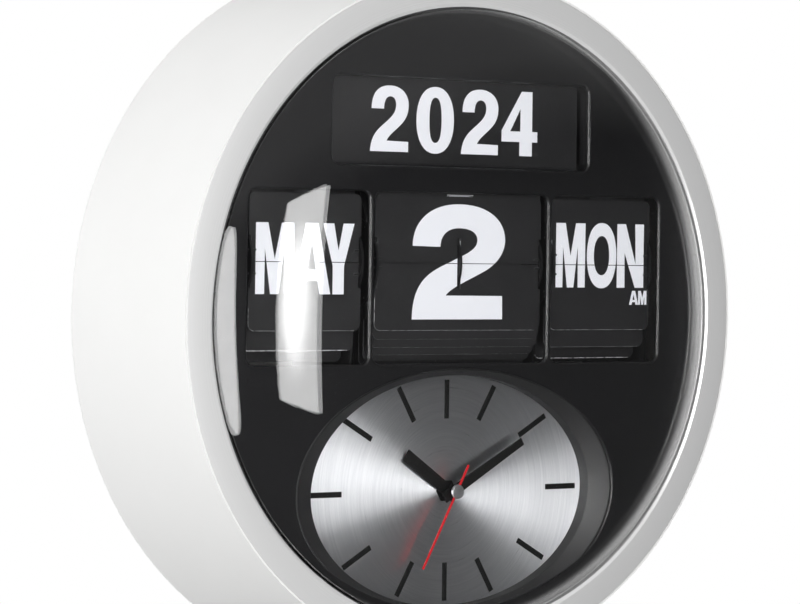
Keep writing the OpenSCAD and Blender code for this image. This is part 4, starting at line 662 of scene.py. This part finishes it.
# Dial: oval of aluminium, brushed in circles about the hands, so that light fans out from the middle.
# The brush lines are 0.05 mm on the real dial and drawn at 0.9 mm.
dial_metal, tree, surface, spot = start_material("aluminium_circular_brushed")
centred = add_node(tree, "ShaderNodeVectorMath", {
    0: spot, 1: (0, 0, -dial_z * mm)}, operation="ADD").outputs[0]
flat = add_node(tree, "ShaderNodeVectorMath", {0: centred, 1: (1, 0, 1)}, operation="MULTIPLY").outputs[0]
radius = add_node(tree, "ShaderNodeVectorMath", {0: flat}, operation="LENGTH").outputs["Value"]
outward = add_node(tree, "ShaderNodeVectorMath", {0: flat}, operation="NORMALIZE").outputs[0]
across = add_node(tree, "ShaderNodeMath", {0: radius, 1: 1 / (0.9 * mm)}, operation="MULTIPLY").outputs[0]
row = add_node(tree, "ShaderNodeCombineXYZ", {"Y": across}).outputs[0]
stroke = add_node(tree, "ShaderNodeVectorMath", {
    0: outward, 1: (1.5, 0, 1.5), 2: row}, operation="MULTIPLY_ADD").outputs[0]
lines = add_node(tree, "ShaderNodeTexNoise", {
    "Vector": stroke, "Scale": 1.0, "Detail": 4.0, "Roughness": 0.6}).outputs[0]
shade = add_node(tree, "ShaderNodeMix", {0: lines, 6: tint("D4D6DA"), 7: tint("FCFDFF")}, data_type="RGBA")
gloss = add_node(tree, "ShaderNodeMapRange", {"Value": lines, "To Min": 0.26, "To Max": 0.31})
bump = add_node(tree, "ShaderNodeBump", {"Height": lines, "Strength": 0.04, "Distance": 0.1 * mm})
around = add_node(tree, "ShaderNodeVectorMath", {
    0: (0, 1, 0), 1: centred}, operation="CROSS_PRODUCT").outputs[0]
along = add_node(tree, "ShaderNodeVectorTransform", {0: around}, convert_from="OBJECT", convert_to="WORLD")
skin = add_node(tree, "ShaderNodeBsdfPrincipled", {
    "Base Color": shade.outputs[2], "Metallic": 0.97, "Roughness": gloss.outputs[0], "Anisotropic": 1.0,
    "Anisotropic Rotation": 0.25, "Normal": bump.outputs[0], "Tangent": along.outputs[0]})
tree.links.new(skin.outputs[0], surface)

dial_w, dial_h, dial_thick = well_w + well_wall - seat_gap, well_h + well_wall - seat_gap, 1.2
dial_rear, bore_r, dial_edge, dial_count = dial_depth + dial_thick, 4.4, 0.15, 240
loops = [(bore_r, bore_r, dial_rear)]
for share in (0, 0.5, 1):
    half_w, half_h = (bore_r + share * (half - dial_edge - bore_r) for half in (dial_w, dial_h))
    loops.append((half_w, half_h, dial_depth))
loops += [(dial_w, dial_h, dial_depth + dial_edge), (dial_w, dial_h, dial_rear)]
dial_mesh = loft("dial", [oval(*loop, dial_z, dial_count) for loop in loops])
new_piece("dial", dial_mesh, dial_metal, "case", ("clock_dial",))

# Hour bars: stamped from thin brass and sprayed with black lacquer, which leaves a slight orange peel.
# Twelve are stuck on the dial, each pointing to the hands, with their outer ends on an oval.
lacquer = mottled("black_lacquer_sprayed", 2, {"Detail": 2.0}, ("040404", "0C0C0C"), (0.42, 0.56),
                  {"Specular IOR Level": 0.2}, (0.05, 0.2))


def start_tree(name, labels):
    """A geometry tree with named inputs: the tree, a dictionary of its inputs and its output socket."""
    tree = bpy.data.node_groups.new(name, "GeometryNodeTree")
    for label in labels:
        kind = "NodeSocketInt" if label == "Count" else "NodeSocketFloat"
        tree.interface.new_socket(label, in_out="INPUT", socket_type=kind)
    tree.interface.new_socket("Geometry", in_out="OUTPUT", socket_type="NodeSocketGeometry")
    enter = add_node(tree, "NodeGroupInput").outputs
    leave = add_node(tree, "NodeGroupOutput").inputs["Geometry"]
    return tree, {label: enter[label] for label in labels}, leave


def ways_out(tree, count):
    """For a number of seats around the Y axis: each one's angle, its sine and cosine, and its way out."""
    index = add_node(tree, "GeometryNodeInputIndex").outputs[0]
    step = add_node(tree, "ShaderNodeMath", {0: 2 * math.pi, 1: count}, operation="DIVIDE").outputs[0]
    angle = add_node(tree, "ShaderNodeMath", {0: index, 1: step}, operation="MULTIPLY").outputs[0]
    sine = add_node(tree, "ShaderNodeMath", {0: angle}, operation="SINE").outputs[0]
    cosine = add_node(tree, "ShaderNodeMath", {0: angle}, operation="COSINE").outputs[0]
    outward = add_node(tree, "ShaderNodeCombineXYZ", {"X": sine, "Z": cosine}).outputs[0]
    return angle, sine, cosine, outward


def set_around(tree, result, count, outward, reach, centre, part, material, **turned_by):
    """Puts a part on each of a number of seats that lie outward from a centre, as one plain mesh."""
    ray = add_node(tree, "ShaderNodeVectorMath", {0: outward, "Scale": reach}, operation="SCALE").outputs[0]
    middle = add_node(tree, "ShaderNodeCombineXYZ", centre).outputs[0]
    seat = add_node(tree, "ShaderNodeVectorMath", {0: ray, 1: middle}, operation="ADD").outputs[0]
    seats = add_node(tree, "GeometryNodePoints", {"Count": count, "Position": seat}).outputs[0]
    parts = add_node(tree, "GeometryNodeInstanceOnPoints", {
        "Points": seats, "Instance": part, **turned_by}).outputs[0]
    real = add_node(tree, "GeometryNodeRealizeInstances", {0: parts}).outputs[0]
    dressed = add_node(tree, "GeometryNodeSetMaterial", {"Geometry": real, "Material": material}).outputs[0]
    tree.links.new(dressed, result)


def grow(name, tree, sizes):
    """The plain mesh that a geometry tree makes with the given sizes."""
    holder = bpy.data.objects.new(name, bpy.data.meshes.new(name))
    scene.collection.objects.link(holder)
    change = holder.modifiers.new(name, "NODES")
    change.node_group = tree
    for item in tree.interface.items_tree:
        if item.in_out == "INPUT":
            change[item.identifier] = sizes[item.name]
    mesh = bpy.data.meshes.new_from_object(holder.evaluated_get(bpy.context.evaluated_depsgraph_get()))
    holder.modifiers.remove(change)
    bpy.data.objects.remove(holder)
    return mesh


tree, size, result = start_tree("bars_on_an_oval", (
    "Count", "Half Width", "Half Height", "Length", "Width", "Thickness", "Edge", "Depth", "Centre Height"))
angle, sine, cosine, outward = ways_out(tree, size["Count"])
across = add_node(tree, "ShaderNodeMath", {0: sine, 1: size["Half Width"]}, operation="DIVIDE").outputs[0]
upward = add_node(tree, "ShaderNodeMath", {0: cosine, 1: size["Half Height"]}, operation="DIVIDE").outputs[0]
ratio = add_node(tree, "ShaderNodeCombineXYZ", {"X": across, "Z": upward}).outputs[0]
inverse = add_node(tree, "ShaderNodeVectorMath", {0: ratio}, operation="LENGTH").outputs["Value"]
reach = add_node(tree, "ShaderNodeMath", {0: 1.0, 1: inverse}, operation="DIVIDE").outputs[0]
half = add_node(tree, "ShaderNodeMath", {0: size["Length"], 1: 0.5}, operation="MULTIPLY").outputs[0]
middle = add_node(tree, "ShaderNodeMath", {0: reach, 1: half}, operation="SUBTRACT").outputs[0]
section = add_node(tree, "GeometryNodeCurvePrimitiveQuadrilateral", {
    "Width": size["Width"], "Height": size["Thickness"]}).outputs[0]
soft = add_node(tree, "GeometryNodeFilletCurve", {
    "Curve": section, "Radius": size["Edge"], "Count": 3}, mode="POLY").outputs[0]
top = add_node(tree, "ShaderNodeCombineXYZ", {"Z": half}).outputs[0]
foot = add_node(tree, "ShaderNodeVectorMath", {0: top, "Scale": -1.0}, operation="SCALE").outputs[0]
spine = add_node(tree, "GeometryNodeCurvePrimitiveLine", {"Start": foot, "End": top}).outputs[0]
bar = add_node(tree, "GeometryNodeCurveToMesh", {
    "Curve": spine, "Profile Curve": soft, "Fill Caps": True}).outputs[0]
lean = add_node(tree, "ShaderNodeCombineXYZ", {"Y": angle}).outputs[0]
facing = add_node(tree, "FunctionNodeEulerToRotation", {0: lean}).outputs[0]
set_around(tree, result, size["Count"], outward, middle, {"Y": size["Depth"], "Z": size["Centre Height"]},
           bar, lacquer, Rotation=facing)
bar_thick, bar_gap = 0.3, 0.02
bar_mesh = grow("hour_bars", tree, {
    "Count": 12, "Half Width": 92.3 * mm, "Half Height": 61.4 * mm, "Length": 21.5 * mm, "Width": 3.1 * mm,
    "Thickness": bar_thick * mm, "Edge": 0.1 * mm, "Centre Height": dial_z * mm,
    "Depth": front_y + (dial_depth - bar_gap - bar_thick / 2) * mm})
new_piece("hour_bars", bar_mesh, lacquer, "case", ("hour_markers",))

# Hour and minute hand: stamped aluminium with the same black lacquer, pushed onto the movement's pipes.
# The movement's neck is held in the dial by a black hexagon nut.
dress(lacquer, "hour_hand", "minute_hand", "movement_nut")

# Second hand: thin strip of aluminium in glossy red lacquer, with a counterweight tail.
# It is riveted to a turned steel cap, whose pin goes into the movement.
red = mottled("red_lacquer_sprayed", 2, {"Detail": 2.0}, ("C0141E", "D8202A"), (0.28, 0.40), {})

second_angle, second_length, second_tail, second_half = math.radians(208.5), 47.6, 16.5, 0.7
second_depth, second_thick, second_edge = 12.6, 0.4, 0.05
pointing = Vector((math.sin(second_angle), math.cos(second_angle)))
sideways = Vector((math.cos(second_angle), -math.sin(second_angle)))
pivot = Vector((0, dial_z))
strip = [pivot + side * second_half * sideways + out * pointing for side, out in (
    (-1, -second_tail), (1, -second_tail), (1, second_length), (-1, second_length))]
strip_mesh = sheet("second_hand_strip", [strip], second_depth, second_thick, second_edge, 1)
new_piece("second_hand_strip", strip_mesh, red, "second_hand", ("second_hand",))
cap_r, cap_front, cap_edge, pin_r, pin_end, pole_r = 4.0, 11.3, 0.3, 0.85, 31.9, 0.02
brow = [(cap_r - cap_edge + out, cap_front + cap_edge - up) for out, up in arc(cap_edge, 90, 0, 4)]
cap_mesh = turned("hand_cap", [(pole_r, cap_front)] + brow + [
    (cap_r, second_depth), (pin_r, second_depth), (pin_r, pin_end), (pole_r, pin_end)], dial_z, 48)
new_piece("hand_cap", cap_mesh, steel, "second_hand")

# Batteries and board: two D cells in printed steel foil, between zinc-plated contacts in the tray, and a
# glass fibre board with green mask that times the motors. The fibre weave is 0.8 mm.
foil = mottled("steel_cell_foil", 6, {"Detail": 2.0}, ("55565A", "6A6B70"), (0.3, 0.3), {"Metallic": 0.6})
dress(foil, "battery_cells")
dress(steel, "battery_contacts")
mask, tree, surface, spot = start_material("fibreglass_board")
weave = add_node(tree, "ShaderNodeTexChecker", {"Vector": spot, "Scale": 1 / (0.8 * mm)}).outputs[1]
shade = add_node(tree, "ShaderNodeMix", {0: weave, 6: tint("0C4A24"), 7: tint("10552A")}, data_type="RGBA")
skin = add_node(tree, "ShaderNodeBsdfPrincipled", {"Base Color": shade.outputs[2], "Roughness": 0.35})
tree.links.new(skin.outputs[0], surface)
dress(mask, "control_board")

# Rear cover: white ABS moulding with the battery bay, its hinged door, the setting knob and a steel hanger.
# Six cross-head screws with tapered pan heads hold it to the case, sunk just below the wall face.
dress(white_abs, "rear_cover", "battery_door", "battery_tray", "time_set_knob")
dress(steel, "hanger_plate")
tree, size, result = start_tree("screws_on_a_circle", (
    "Count", "Circle Radius", "Head Radius", "Head Top Radius", "Head Height", "Shank Radius", "Shank Length",
    "Cross Length", "Cross Width", "Cross Depth", "Seat"))
head = add_node(tree, "GeometryNodeMeshCone", {
    "Vertices": 32, "Radius Top": size["Head Top Radius"], "Radius Bottom": size["Head Radius"],
    "Depth": size["Head Height"]}).outputs["Mesh"]
shank = add_node(tree, "GeometryNodeMeshCylinder", {
    "Vertices": 20, "Radius": size["Shank Radius"], "Depth": size["Shank Length"]}).outputs["Mesh"]
half = add_node(tree, "ShaderNodeMath", {0: size["Shank Length"], 1: -0.5}, operation="MULTIPLY").outputs[0]
below = add_node(tree, "ShaderNodeCombineXYZ", {"Z": half}).outputs[0]
hanging = add_node(tree, "GeometryNodeTransform", {"Geometry": shank, "Translation": below}).outputs[0]
cross_at = add_node(tree, "ShaderNodeCombineXYZ", {"Z": size["Head Height"]}).outputs[0]
double = add_node(tree, "ShaderNodeMath", {0: size["Cross Depth"], 1: 2.0}, operation="MULTIPLY").outputs[0]
recessed = add_node(tree, "GeometryNodeMeshBoolean", {"Mesh 1": head}, operation="DIFFERENCE", solver="EXACT")
for x, y in (("Cross Length", "Cross Width"), ("Cross Width", "Cross Length")):
    blade = add_node(tree, "ShaderNodeCombineXYZ", {"X": size[x], "Y": size[y], "Z": double}).outputs[0]
    tool = add_node(tree, "GeometryNodeMeshCube", {"Size": blade}).outputs["Mesh"]
    cross = add_node(tree, "GeometryNodeTransform", {"Geometry": tool, "Translation": cross_at}).outputs[0]
    tree.links.new(cross, recessed.inputs["Mesh 2"])
whole = add_node(tree, "GeometryNodeMeshBoolean", operation="UNION", solver="EXACT")
for part in (recessed.outputs["Mesh"], hanging):
    tree.links.new(part, whole.inputs["Mesh 2"])
backward = add_node(tree, "GeometryNodeTransform", {
    "Geometry": whole.outputs["Mesh"], "Rotation": (-math.pi / 2, 0, 0)}).outputs[0]
_, _, _, outward = ways_out(tree, size["Count"])
set_around(tree, result, size["Count"], outward, size["Circle Radius"], {"Y": size["Seat"]}, backward, steel)
screw_low, screw_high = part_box("rear_cover_screws")[0][1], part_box("rear_cover_screws")[1][1]
head_r, head_high = 2.8, 1.8
head_seat = screw_high - head_high * mm
screw_mesh = grow("cover_screws", tree, {
    "Count": 6, "Circle Radius": 188 * mm, "Head Radius": head_r * mm, "Head Top Radius": 0.8 * head_r * mm,
    "Head Height": head_high * mm, "Shank Radius": 1.4 * mm, "Shank Length": head_seat - screw_low,
    "Cross Length": 1.2 * head_r * mm, "Cross Width": 0.25 * head_r * mm,
    "Cross Depth": 0.6 * head_high * mm, "Seat": head_seat})
new_piece("cover_screws", screw_mesh, steel, "case", ("rear_cover_screws",))

# Crystal: domed acrylic, 2 mm thick and polished on both faces, with a flat rim that the ring holds down.
# It is clear but for a faint haze of fingerprints, a few centimetres across.
acrylic, tree, surface, spot = start_material("clear_acrylic")
haze = add_node(tree, "ShaderNodeTexNoise", {
    "Vector": spot, "Scale": 1 / (20 * mm), "Detail": 4.0}).outputs[0]
smear = add_node(tree, "ShaderNodeMapRange", {"Value": haze, "To Min": 0.0, "To Max": 0.02}).outputs[0]
glass = add_node(tree, "ShaderNodeBsdfPrincipled", {
    "Base Color": tint("FFFFFF"), "Roughness": smear, "IOR": 1.49, "Transmission Weight": 1.0})
clear = add_node(tree, "ShaderNodeBsdfTransparent")
path = add_node(tree, "ShaderNodeLightPath").outputs
lamp_ray = add_node(tree, "ShaderNodeMath", {
    0: path["Is Shadow Ray"], 1: path["Is Diffuse Ray"]}, operation="MAXIMUM").outputs[0]
both = add_node(tree, "ShaderNodeMixShader", {0: lamp_ray, 1: glass.outputs[0], 2: clear.outputs[0]})
tree.links.new(both.outputs[0], surface)


def dome(foot_r, height):
    """Half an ellipse, cut off where it is as steep as the dome's foot, from the foot to the pole."""
    foot_angle, steps = 52, 72
    foot_slope = math.tan(math.radians(foot_angle))
    sunk = height / (foot_r * foot_slope - height)
    outline = []
    for i in range(steps):
        out = math.cos(math.pi / 2 * i / steps)
        rise = math.sqrt(1 - (1 - sunk ** 2) * out ** 2) - sunk
        outline.append((foot_r * out, -height / (1 - sunk) * rise))
    return outline + [(pole_r, -height)]


dome_r, dome_thick, dome_high = 170.3, 2.0, (front_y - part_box("crystal")[0][1]) / mm
rim_r, rim_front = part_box("crystal")[1][0] / mm, 1.6
rim_rear = rim_front + dome_thick
crystal_mesh = turned("crystal_dome", [
    (dome_r - dome_thick, rim_rear), (rim_r, rim_rear), (rim_r, rim_front), (dome_r, rim_front),
] + dome(dome_r, dome_high) + dome(dome_r - dome_thick, dome_high - dome_thick)[::-1])
new_piece("crystal_dome", crystal_mesh, acrylic, "case", ("crystal",))

size = {"cad": cad_box, "visual": [list(corner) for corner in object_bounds()]}
